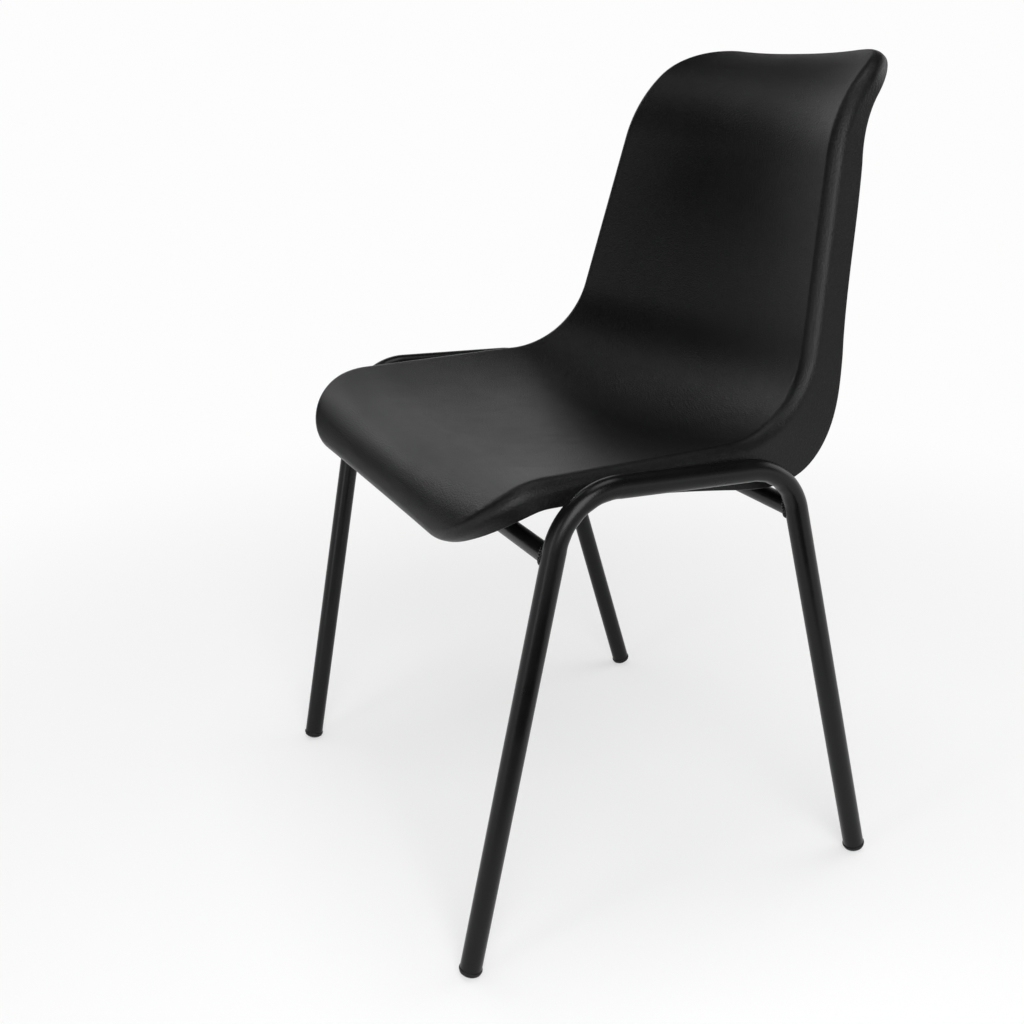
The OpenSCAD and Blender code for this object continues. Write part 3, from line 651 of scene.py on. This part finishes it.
def in_side_plane(y, up, out, side):
    """A point of a side frame's leaning plane: y, height up the plane, and distance out of it."""
    return np.stack([side * (FOOT_WIDTH / 2 + up * sin(LEAN) + out * cos(LEAN)),
                     y + 0 * up, up * cos(LEAN) - out * sin(LEAN)], -1)


class Leg:
    """A leg's axis in its side frame's plane, from the floor to the knee."""

    def __init__(self, front):
        knee = FRONT_KNEE if front else REAR_KNEE
        self.foot = np.array([-FOOT_DEPTH / 2 if front else FOOT_DEPTH / 2, 0.0])
        self.knee = np.array([knee[0], knee[1] / cos(LEAN)])
        run = self.knee - self.foot
        self.run = run / np.linalg.norm(run)
        tilt = acos(cos(LEAN) * abs(self.run[1]))
        self.sole = (GLIDE_DOME_R - GLIDE_FLAT) / cos(tilt)
        sink = sqrt(GLIDE_DOME_R ** 2 - (GLIDE_BASE_D / 2) ** 2)
        self.ring_start = self.sole - sink + GLIDE_BAND_H
        self.tube_start = self.ring_start + GLIDE_RING_H

    def at(self, length, side):
        """A point of the axis, a length up from the floor."""
        return in_side_plane(*(self.foot + length * self.run), 0.0, side)

    def axis(self, side):
        """The foot and the direction of the axis."""
        foot = self.at(0.0, side)
        run = self.at(1.0, side) - foot
        return foot, run / np.linalg.norm(run)

    def y_at(self, z):
        """The axis's y at a height."""
        up = z / cos(LEAN)
        return self.foot[0] + (self.knee[0] - self.foot[0]) * up / self.knee[1]


LEGS = {"front": Leg(True), "rear": Leg(False)}
PLATE_Z = CROSS_Z + CROSS_D / 2
BOSS_Z = PLATE_Z + PLATE_T
CORNERS = [(end, side) for end in ("front", "rear") for side in (1, -1)]


def hand(side):
    return "left" if side > 0 else "right"


def name_of(end, side, piece):
    return "%s_%s_%s" % (end, hand(side), piece)


def screw_place(end, side):
    reach = SCREW_REACH if end == "front" else -SCREW_REACH
    return side * SCREW_X, LEGS[end].y_at(CROSS_Z) + reach


# ---- geometry node trees

class Tree:
    """A Geometry Nodes tree with named inputs, whose result becomes a plain mesh."""

    def __init__(self, name, inputs):
        self.group = bpy.data.node_groups.new(name, "GeometryNodeTree")
        face = self.group.interface
        face.new_socket("Geometry", in_out="INPUT", socket_type="NodeSocketGeometry")
        face.new_socket("Geometry", in_out="OUTPUT", socket_type="NodeSocketGeometry")
        self.ids = {}
        for label, kind in inputs.items():
            socket = face.new_socket(label, in_out="INPUT", socket_type="NodeSocket" + kind)
            self.ids[label] = socket.identifier
        self.source = self.group.nodes.new("NodeGroupInput")
        self.result = self.group.nodes.new("NodeGroupOutput")

    def given(self, label):
        return Socket(self.group, self.source.outputs[label])

    def add(self, kind, settings=None, inputs=None, output=0):
        return node(self.group, kind, settings, inputs, output)

    def close(self, geometry):
        """Ends the tree in real, painted geometry."""
        real = self.add("GeometryNodeRealizeInstances", None, {"Geometry": geometry})
        painted = self.add("GeometryNodeSetMaterial", None,
                           {"Geometry": real, "Material": self.given("Finish")})
        self.group.links.new(painted.link, self.result.inputs["Geometry"])

    def grow(self, name, mesh, values):
        """Runs the tree on a mesh and returns the plain mesh piece that comes out."""
        carrier = linked(name, mesh)
        modifier = carrier.modifiers.new("tree", "NODES")
        modifier.node_group = self.group
        for label, value in values.items():
            modifier[self.ids[label]] = value
        applied(carrier)
        bpy.data.meshes.remove(mesh)
        carrier.data.name = name
        return carrier


def tube_tree():
    """A round tube along a line of straight runs, its corners bent to one radius."""
    tree = Tree("bent_tube", {"Diameter": "Float", "Bend Radius": "Float", "Bend Rings": "Int",
                              "Sides": "Int", "Finish": "Material"})
    line = tree.add("GeometryNodeMeshToCurve", None, {"Mesh": tree.given("Geometry")})
    bent = tree.add("GeometryNodeFilletCurve", {"mode": "POLY"},
                    {"Curve": line, "Count": tree.given("Bend Rings"),
                     "Radius": tree.given("Bend Radius")})
    ring = tree.add("GeometryNodeCurvePrimitiveCircle", {"mode": "RADIUS"},
                    {"Resolution": tree.given("Sides"), "Radius": tree.given("Diameter") / 2})
    tree.close(tree.add("GeometryNodeCurveToMesh", None, {"Curve": bent, "Profile Curve": ring}))
    return tree


def bead_tree():
    """A weld bead along a line, with the ripples that a welder's pauses leave."""
    tree = Tree("weld_bead", {"Bead Width": "Float", "Ripple": "Float", "Pitch": "Float",
                              "Sides": "Int", "Finish": "Material"})
    line = tree.add("GeometryNodeMeshToCurve", None, {"Mesh": tree.given("Geometry")})
    line = tree.add("GeometryNodeResampleCurve", {"mode": "LENGTH"},
                    {"Curve": line, "Length": tree.given("Pitch") / RIPPLE_POINTS})
    length = tree.add("GeometryNodeSplineParameter", None, None, "Length")
    wave = tree.add("ShaderNodeMath", {"operation": "SINE"},
                    {0: length * (2 * pi) / tree.given("Pitch")})
    ring = tree.add("GeometryNodeCurvePrimitiveCircle", {"mode": "RADIUS"},
                    {"Resolution": tree.given("Sides"), "Radius": tree.given("Bead Width") / 2})
    tree.close(tree.add("GeometryNodeCurveToMesh", None,
                        {"Curve": line, "Profile Curve": ring, "Fill Caps": True,
                         "Scale": 1 + wave * tree.given("Ripple")}))
    return tree


def scatter_tree():
    """One turned piece at each point, turned as the point's attribute says."""
    tree = Tree("set_pieces", {"Piece": "Object", "Finish": "Material"})
    piece = tree.add("GeometryNodeObjectInfo", {"transform_space": "ORIGINAL"},
                     {"Object": tree.given("Piece")}, "Geometry")
    turn = tree.add("GeometryNodeInputNamedAttribute", {"data_type": "FLOAT_VECTOR"}, {"Name": "turn"})
    turn = tree.add("FunctionNodeEulerToRotation", None, {"Euler": turn})
    tree.close(tree.add("GeometryNodeInstanceOnPoints", None,
                        {"Points": tree.given("Geometry"), "Instance": piece, "Rotation": turn}))
    return tree


def line_mesh(points, closed=False):
    """A polyline in metres from points in millimetres in the frame of the feet."""
    mesh = bpy.data.meshes.new("line")
    count = len(points)
    edges = [(i, (i + 1) % count) for i in range(count if closed else count - 1)]
    mesh.from_pydata(in_metres(points).tolist(), edges, [])
    return mesh


TUBES, BEADS, SETTER = tube_tree(), bead_tree(), scatter_tree()


def applied(piece):
    """The piece with its modifiers made part of its mesh."""
    graph = bpy.context.evaluated_depsgraph_get()
    mesh = bpy.data.meshes.new_from_object(piece.evaluated_get(graph))
    piece.modifiers.clear()
    piece.data = mesh
    return piece


def thickened(piece, wall):
    """The piece's skin with a wall put inside it."""
    solid = piece.modifiers.new("wall", "SOLIDIFY")
    solid.thickness = wall * MM
    solid.offset = -1
    solid.use_even_offset = True
    return applied(piece)


def read_points(mesh):
    """The mesh's points in millimetres in the frame of the feet."""
    flat = np.zeros(len(mesh.vertices) * 3)
    mesh.vertices.foreach_get("co", flat)
    return flat.reshape(-1, 3) / MM - [0, FEET_MIDDLE_Y, 0]


def write_points(mesh, points):
    mesh.vertices.foreach_set("co", in_metres(points).ravel())
    mesh.update()


# ---- side frames

def pressed_bends(points, side):
    """The press flattens a bend a little outside, more inside, and leaves faint ripples there."""
    wide = side * points[:, 0] - FOOT_WIDTH / 2
    ups = points[:, 2] * cos(LEAN) + wide * sin(LEAN)
    outs = wide * cos(LEAN) - points[:, 2] * sin(LEAN)
    plane = np.stack([points[:, 1], ups], -1)
    front, rear = LEGS["front"], LEGS["rear"]
    for leg, other in ((front, rear), (rear, front)):
        rail = other.knee - leg.knee
        rail /= np.linalg.norm(rail)
        down = -leg.run
        turn = acos(-rail @ down)
        bisector = (rail + down) / np.linalg.norm(rail + down)
        centre = leg.knee + bisector * BEND_R / cos(turn / 2)
        away = plane - centre
        distance = np.linalg.norm(away, axis=1)
        from_middle = np.arccos(np.clip(away @ -bisector / distance, -1, 1))
        sideways = away @ np.array([-bisector[1], bisector[0]])
        t = from_middle / (turn / 2)
        across = distance - BEND_R
        near = (t < 1) & (np.abs(across) < TUBE_D)
        fade = np.where(near, np.cos(np.clip(t, 0, 1) * pi / 2) ** RIPPLE_FADE, 0)
        ripple = RIPPLE * np.cos(np.sign(sideways) * t * RIPPLE_TURNS * pi) * fade
        squeezed = np.where(across < 0,
                            across * (1 - PRESS_IN * fade) + ripple * np.abs(across) / (TUBE_D / 2),
                            across * (1 - PRESS_OUT * fade))
        moved = centre + away / distance[:, None] * (BEND_R + squeezed)[:, None]
        plane = np.where(near[:, None], moved, plane)
    return in_side_plane(plane[:, 0], plane[:, 1], outs, side)


def walled_tube(name, cad_node, path, diameter, wall, sides, bend_r, bend_rings, reshape):
    """A tube along a path. Its skin is reshaped before it gets its wall."""
    tube = TUBES.grow(name, line_mesh(path), {
        "Diameter": diameter * MM, "Bend Radius": bend_r * MM, "Bend Rings": bend_rings,
        "Sides": sides, "Finish": COAT})
    write_points(tube.data, reshape(read_points(tube.data)))
    finish_mesh(tube, turn_out=True)
    dress(finish_mesh(thickened(tube, wall)), "powder_coat", cad_node)


def side_frame(side):
    """A bent tube from one foot over the rail to the other."""
    front, rear = LEGS["front"], LEGS["rear"]
    knees = [in_side_plane(*leg.knee, 0.0, side) for leg in (rear, front)]
    path = [rear.at(rear.tube_start, side)] + knees + [front.at(front.tube_start, side)]
    walled_tube(hand(side) + "_frame_tube", hand(side) + "_side_frame", path, TUBE_D, TUBE_WALL,
                FRAME_SIDES, BEND_R, BEND_RINGS, lambda points: pressed_bends(points, side))


# ---- cross tubes and their welds

def leg_surface_x(end, side, y, z):
    """Where a line across the chair at y, z meets the inner face of a leg's tube."""
    start, run = LEGS[end].axis(side)
    # |q - (q.run) run|^2 = r^2 with q = (x - x0, y - y0, z - z0)
    qy, qz = y - start[1], z - start[2]
    along = qy * run[1] + qz * run[2]
    a = 1 - run[0] ** 2
    b = -2 * run[0] * along
    c = qy ** 2 + qz ** 2 - along ** 2 - (TUBE_D / 2) ** 2
    root = np.sqrt(np.maximum(b * b - 4 * a * c, 0))
    return start[0] + (-b - side * root) / (2 * a)


def cross_tube(end):
    """A straight tube across the chair, coped to its two legs."""
    def coped(points):
        for side in (1, -1):
            mine = side * points[:, 0] > 0
            points[mine, 0] = leg_surface_x(end, side, points[mine, 1], points[mine, 2])
        return points

    path = [(x, LEGS[end].y_at(CROSS_Z), CROSS_Z) for x in (-FOOT_WIDTH / 2, FOOT_WIDTH / 2)]
    walled_tube(end + "_cross_rail", end + "_cross_tube", path, CROSS_D, CROSS_WALL,
                CROSS_SIDES, 0.0, 1, coped)


def weld_bead(name, line, width, closed):
    """A bead along a line given as its (x, y, z)."""
    bead = BEADS.grow(name, line_mesh(np.stack(line, -1), closed), {
        "Bead Width": width * MM, "Ripple": BEAD_RIPPLE, "Pitch": BEAD_PITCH * MM,
        "Sides": BEAD_SIDES, "Finish": COAT})
    finish_mesh(bead, BEAD_SMOOTH, turn_out=True)
    return dress(bead, "powder_coat")


def joint_welds():
    """A bead all round each end of the cross tubes."""
    turns = round_turn(JOINT_SIDES)
    for end, side in CORNERS:
        y = LEGS[end].y_at(CROSS_Z) + CROSS_D / 2 * np.cos(turns)
        z = CROSS_Z + CROSS_D / 2 * np.sin(turns)
        x = leg_surface_x(end, side, y, z) - side * JOINT_BEAD_IN
        weld_bead(name_of(end, side, "joint_weld"), (x, y, z), JOINT_BEAD_W, True)


def plate_welds():
    """Two short beads where each plate sits on its cross tube."""
    half = PLATE_W / 2 - PLATE_CORNER_R
    for end, side in CORNERS:
        x = np.linspace(side * SCREW_X - half, side * SCREW_X + half, PLATE_BEAD_POINTS)
        for step, label in ((-PLATE_BEAD_Y, "outer"), (PLATE_BEAD_Y, "inner")):
            y = LEGS[end].y_at(CROSS_Z) + step + 0 * x
            z = PLATE_Z - PLATE_BEAD_DROP + 0 * x
            weld_bead(name_of(end, side, label + "_plate_weld"), (x, y, z), PLATE_BEAD_W, False)


# ---- plates and bosses

# Steps of the search for the height of the wall
HALVINGS = 26


def plate_outline(width, length, corner, steps=8):
    """A rounded rectangle about the middle of its width, from 0 along its length."""
    points = []
    left, right, far = corner - width / 2, width / 2 - corner, length - corner
    for cx, cy, start in ((right, corner, -90), (right, far, 0), (left, far, 90), (left, corner, 180)):
        for k in range(steps + 1):
            a = radians(start + 90 * k / steps)
            points.append((cx + corner * cos(a), cy + corner * sin(a)))
    return np.array(points)


def mounting_plate(end, side):
    """A pressed plate with soft edges round its outline and its hole."""
    x0, y0 = screw_place(end, side)
    way = 1 if end == "front" else -1
    start = -SCREW_REACH - PLATE_LAP
    outer = plate_outline(PLATE_W, PLATE_LEN, PLATE_CORNER_R) + [0, start]
    centre = np.array([0, start + PLATE_LEN / 2])
    length = np.linalg.norm(outer - centre, axis=1)[:, None]
    angles = np.arctan2(outer[:, 1], outer[:, 0])
    around = np.stack([np.cos(angles), np.sin(angles)], -1)
    hole, middle = SCREW_HOLE_D / 2, SOFT_MIDDLE * PLATE_SOFT

    def inset(amount):
        return centre + (outer - centre) * (1 - amount / length)

    # Flat outlines from the plate's edge to its hole, each with its depth below the face
    half = [(outer, PLATE_SOFT), (inset(middle), middle), (inset(PLATE_SOFT), 0.0),
            (around * (hole + HOLE_SOFT), 0.0), (around * hole, HOLE_SOFT)]
    levels = [(flat, PLATE_Z + depth) for flat, depth in half]
    levels += [(flat, BOSS_Z - depth) for flat, depth in reversed(half)]
    rings = [np.stack([x0 + flat[:, 0] * way, y0 + flat[:, 1] * way, np.full(len(flat), z)], -1)
             for flat, z in levels]
    plate = solid_piece(name_of(end, side, "seat_plate"), *lofted(rings, looped=True), COAT)
    return dress(plate, "powder_coat", name_of(end, side, "plate"))


def wall_height(x, y):
    """Height of the middle of the shell's wall over a point, by halving."""
    low, high = np.zeros(np.shape(x)), np.full(np.shape(x), S_BACK)
    for _ in range(HALVINGS):
        middle = (low + high) / 2
        before = placed(middle, x, dish_at(middle, x))[..., 1] < y
        low, high = np.where(before, middle, low), np.where(before, high, middle)
    return placed(low, x, dish_at(low, x))[..., 2] - WALL / 2


def boss(end, side):
    """A moulded boss with a socket for its insert, and a soft root under the seat."""
    x0, y0 = screw_place(end, side)
    angles = round_turn(BOSS_SIDES)
    pocket = SCREW_LEN - WASHER_T - PLATE_T + POCKET_SPARE
    hole, rim = INSERT_D / 2, BOSS_D / 2
    rings = [ring(angles, r, BOSS_Z + z, x0, y0)
             for r, z in ((hole * POCKET_TIP, pocket), (hole, pocket), (hole, 0.0),
                          (rim - 0.9, 0.0), (rim - 0.25, 0.25), (rim, 0.9))]
    for r, share in BOSS_ROOT:
        root = ring(angles, r, BOSS_Z, x0, y0)
        root[:, 2] += share * (wall_height(root[:, 0], root[:, 1]) - BOSS_Z)
        rings.append(root)
    return lofted(rings)


# ---- fasteners

def hexagon(angles):
    """How far a hexagon reaches past the circle inside it."""
    return 1 / np.cos((angles + pi / 6) % (pi / 3) - pi / 6)


def master(name, points, faces, material):
    """A piece about its own origin for the scatter tree. It isn't kept itself."""
    return finish_mesh(linked(name, new_mesh(name, points * MM, faces, material)), turn_out=True)


def set_pieces(name, source, places, turns, material, slot, nodes, smooth_angle=SMOOTH_ANGLE):
    """Copies of the source at the places, as one piece."""
    points = bpy.data.meshes.new(name + "_places")
    points.from_pydata(in_metres(places).tolist(), [], [])
    attribute = points.attributes.new("turn", "FLOAT_VECTOR", "POINT")
    attribute.data.foreach_set("vector", np.asarray(turns, float).ravel())
    made = SETTER.grow(name, points, {"Piece": source, "Finish": material})
    bpy.data.objects.remove(source)
    return dress(finish_mesh(made, smooth_angle), slot, *nodes)


def screw_master():
    """A dome head with a hexagon socket, on a plain shank. It hangs from the plate's lower face."""
    head, shank, socket = SCREW_HEAD_D / 2, SCREW_D / 2, SOCKET_AF / 2
    dome = (head ** 2 + SCREW_HEAD_H ** 2) / (2 * SCREW_HEAD_H)
    under = -WASHER_T
    low = under - SCREW_HEAD_H
    tip = under + SCREW_LEN
    face = socket * 1.3
    angles = round_turn(SCREW_SIDES)
    # Radius and height, first in the socket, then on the dome, under the head and down the shank
    rings = [ring(angles, r * hexagon(angles), z)
             for r, z in ((socket * 0.3, low + SOCKET_DEPTH + 0.5), (socket, low + SOCKET_DEPTH),
                          (socket, low + 0.45))]
    rows = [(face * 0.94, low + 0.26)]
    rows += [(r, low + dome - sqrt(dome ** 2 - r ** 2)) for r in np.linspace(face, head - 0.1, 9)]
    rows += [(head, under - 0.15), (head - 0.15, under), (shank + 0.4, under), (shank, under + 0.4),
             (shank, tip - 0.8), (shank - 0.8, tip)]
    rings += [ring(angles, r, z) for r, z in rows]
    return master("screw_master", *lofted(rings), ZINC)


def washer_master():
    inner, outer = SCREW_HOLE_D / 2, WASHER_D / 2
    rows = [(inner, 0.15), (inner + 0.15, 0.0), (outer - 0.25, 0.0), (outer, 0.25),
            (outer, WASHER_T - 0.25), (outer - 0.25, WASHER_T), (inner + 0.15, WASHER_T),
            (inner, WASHER_T - 0.15)]
    angles = round_turn(WASHER_SIDES)
    rings = [ring(angles, r, z - WASHER_T) for r, z in rows]
    return master("washer_master", *lofted(rings, looped=True), ZINC)


def fasteners():
    places = [(*screw_place(end, side), PLATE_Z) for end, side in CORNERS]
    turns = [(0, 0, turn) for turn in SCREW_TURNS]
    for piece, source in (("screw", screw_master()), ("washer", washer_master())):
        set_pieces("seat_%ss" % piece, source, places, turns, ZINC, "screw_zinc",
                   [name_of(end, side, piece) for end, side in CORNERS])


# ---- glides

# The innermost ring of the dome, as a share of its angle, and the number of rings
DOME_START, DOME_RINGS = 0.04, 22


def glides():
    """A ring under the tube's end, a short band and a domed sole, worn flat on the floor."""
    for end in ("front", "rear"):
        leg = LEGS[end]
        base, edge = GLIDE_BASE_D / 2, GLIDE_RING_D / 2
        # Radius and height up the leg: the dome, the band, the ring and the spigot
        dome = np.linspace(DOME_START, 1, DOME_RINGS) * asin(base / GLIDE_DOME_R)
        rows = [(GLIDE_DOME_R * sin(a), leg.sole - GLIDE_DOME_R * cos(a)) for a in dome]
        rim = rows.pop()[1]
        top, tube = leg.ring_start, leg.tube_start
        spigot = TUBE_D / 2 - TUBE_WALL - SPIGOT_CLEARANCE
        rows += [(base - 0.25, rim - 0.2), (base, rim + 0.25),
                 (base, top - 0.3), (base - 0.35, top - 0.1), (base - 0.35, top + 0.05),
                 (edge - 0.6, top + 0.05), (edge - 0.15, top + 0.25), (edge, top + 0.7),
                 (edge, tube - 0.9), (edge - 0.25, tube - 0.35), (edge - 0.8, tube - 0.05),
                 (edge - 1.2, tube), (spigot, tube), (spigot, tube + SPIGOT_LEN - SPIGOT_TAPER),
                 (spigot - SPIGOT_TAPER, tube + SPIGOT_LEN)]
        angles = round_turn(GLIDE_SIDES)
        source = master(end + "_glide_master", *lofted([ring(angles, r, z) for r, z in rows]), NYLON)
        feet, axes = zip(*(leg.axis(side) for side in (1, -1)))
        turns = [Vector(axis.tolist()).to_track_quat("Z", "Y").to_euler() for axis in axes]
        made = set_pieces(end + "_glides", source, feet, turns, NYLON, "glide_plastic",
                          [name_of(end, side, "glide") for side in (1, -1)], GLIDE_SMOOTH)
        points = read_points(made.data)
        points[:, 2] = np.maximum(points[:, 2], 0.0)
        write_points(made.data, points)
        finish_mesh(made, GLIDE_SMOOTH)


# ---- build

dress(solid_piece("moulded_shell", *shell_mesh(), PLASTIC, SHELL_SMOOTH), "shell_plastic", "seat_shell")
four_bosses = joined([boss(end, side) for end, side in CORNERS])
dress(solid_piece("moulded_bosses", *four_bosses, PLASTIC, BOSS_SMOOTH), "shell_plastic", "seat_shell")
for side in (1, -1):
    side_frame(side)
for end in ("front", "rear"):
    cross_tube(end)
joint_welds()
plate_welds()
for end, side in CORNERS:
    mounting_plate(end, side)
    insert = frame["nodes"][name_of(end, side, "insert")]
    insert.data.materials.clear()
    insert.data.materials.append(BRASS)
fasteners()
glides()


# ---- stage and light

def lamp(name, place, aim, size, power, spread=180.0):
    data = bpy.data.lights.new(name, "AREA")
    data.shape = "RECTANGLE"
    data.size, data.size_y = size
    data.energy = power
    data.spread = radians(spread)
    made = linked(name, data)
    made.location = place
    made.rotation_euler = (Vector(aim) - Vector(place)).to_track_quat("-Z", "Y").to_euler()
    made.visible_camera = False


def sheet(name, place, turn, size, material, unseen_by=()):
    """A flat piece of the stage, which some kinds of rays can pass."""
    wide, high = size[0] / 2, size[1] / 2
    corners = [Vector(place) + turn @ Vector(c) for c in
               ((-wide, -high, 0), (wide, -high, 0), (wide, high, 0), (-wide, high, 0))]
    made = linked(name, new_mesh(name, np.array(corners), [(0, 1, 2, 3)], material))
    for rays in unseen_by:
        setattr(made, "visible_" + rays, False)


def black_card(name, place, size, aim):
    """A black card beside the chair. Only gloss sees it, and it keeps no light off the chair."""
    material, tree = blank_material(name + "_felt")
    felt = node(tree, "ShaderNodeBsdfDiffuse", None, {"Color": grey(CARD_COLOUR)})
    turn = (Vector(aim) - Vector(place)).to_track_quat("Z", "Y")
    sheet(name, place, turn, size, finish_material(material, felt),
          ("camera", "diffuse", "transmission", "shadow", "volume_scatter"))


def seen_rays(tree):
    """1 for the rays of the camera, of gloss and of glass, which see the white background."""
    camera, gloss, glass = (node(tree, "ShaderNodeLightPath", None, None, "Is %s Ray" % kind)
                            for kind in ("Camera", "Glossy", "Transmission"))
    return (camera + gloss + glass).ramp(0.0, 1.0)


def white_floor():
    """A pale floor that keeps the chair's shadow near it and fades to the background's white."""
    material, tree = blank_material("pale_floor")
    lit = node(tree, "ShaderNodeBsdfDiffuse", None, {"Color": grey(FLOOR_COLOUR)})
    white = node(tree, "ShaderNodeEmission", None, {"Color": grey(STAGE_WHITE), "Strength": 1.0})
    distance = node(tree, "ShaderNodeVectorMath", {"operation": "LENGTH"},
                    {0: object_place(tree)}, "Value")
    factor = seen_rays(tree) * (FLOOR_GLOW + distance.ramp(*FLOOR_FADE) * (1 - FLOOR_GLOW))
    seen = node(tree, "ShaderNodeMixShader", None, {0: factor, 1: lit, 2: white})
    finish_material(material, seen)
    sheet("floor", (0, 0, 0), Quaternion(), (FLOOR_SIZE, FLOOR_SIZE), material)


def white_world():
    """White for the camera. Gloss sees white walls that end in a darker ceiling."""
    world = bpy.data.worlds.new("white_studio")
    bpy.context.scene.world = world
    world.use_nodes = True
    tree = world.node_tree
    tree.nodes.clear()
    height = node(tree, "ShaderNodeSeparateXYZ", None,
                  {"Vector": node(tree, "ShaderNodeTexCoord", None, None, "Generated")}, "Z")
    unseen = 1 - node(tree, "ShaderNodeLightPath", None, None, "Is Camera Ray")
    colour = mix_colour(height.ramp(*CEILING_HEIGHTS) * unseen, grey(STAGE_WHITE), grey(CEILING))
    seen = node(tree, "ShaderNodeBackground", None, {"Color": colour, "Strength": 1.0})
    light = node(tree, "ShaderNodeBackground", None, {"Color": grey(1.0), "Strength": ROOM_LIGHT})
    mixed = node(tree, "ShaderNodeMixShader", None, {0: seen_rays(tree), 1: light, 2: seen})
    node(tree, "ShaderNodeOutputWorld", None, {"Surface": mixed})


STAGE_WHITE, ROOM_LIGHT, CARD_COLOUR = 0.98, 0.36, 0.004
# The floor's own colour, its share of background white near the chair, and the distances from the
# chair between which that share grows to all of it
FLOOR_SIZE, FLOOR_COLOUR, FLOOR_GLOW, FLOOR_FADE = 60.0, 0.9, 0.5, (0.4, 1.5)
# The white walls end in the ceiling between these sines of the height angle
CEILING, CEILING_HEIGHTS = 0.03, (0.12, 0.36)
white_floor()
white_world()
# Place, aim and size in metres, power in watts, and for a gridded lamp the spread in degrees
lamp("key_softbox", (1.75, -0.62, 1.45), (0, 0, 0.6), (1.1, 1.8), 38)
lamp("front_strip", (0.9, -2.4, 0.95), (0, 0, 0.6), (0.45, 1.9), 10)
lamp("side_softbox", (2.2, 1.2, 1.0), (0, 0, 0.45), (1.8, 1.8), 3)
lamp("rear_softbox", (0.2, 2.6, 1.5), (0, 0, 0.5), (1.8, 1.2), 12)
lamp("back_softbox", (-2.3, 1.0, 1.35), (0, 0, 0.45), (1.4, 0.8), 1.6)
lamp("left_softbox", (-2.35, 0.0, 1.3), (0, 0, 0.45), (1.0, 0.7), 2.2)
lamp("gridded_softbox", (-1.2, -0.58, 0.95), (0.02, -0.3, 0.4), (0.7, 0.6), 0.085, 10.0)
lamp("overhead_softbox", (0, 0.2, 2.8), (0, 0, 0.45), (1.2, 1.2), 14)
lamp("top_left_softbox", (-1.3, -0.75, 2.3), (0, 0, 0.45), (0.8, 0.8), 3)
black_card("far_card", (-1.9, -1.1, 0.97), (2.0, 1.26), (0, 0, 0.97))
black_card("floor_card", (1.4, -0.75, 0.004), (1.7, 1.8), (1.4, -0.75, 1.0))
bpy.context.scene.view_settings.view_transform = "Standard"
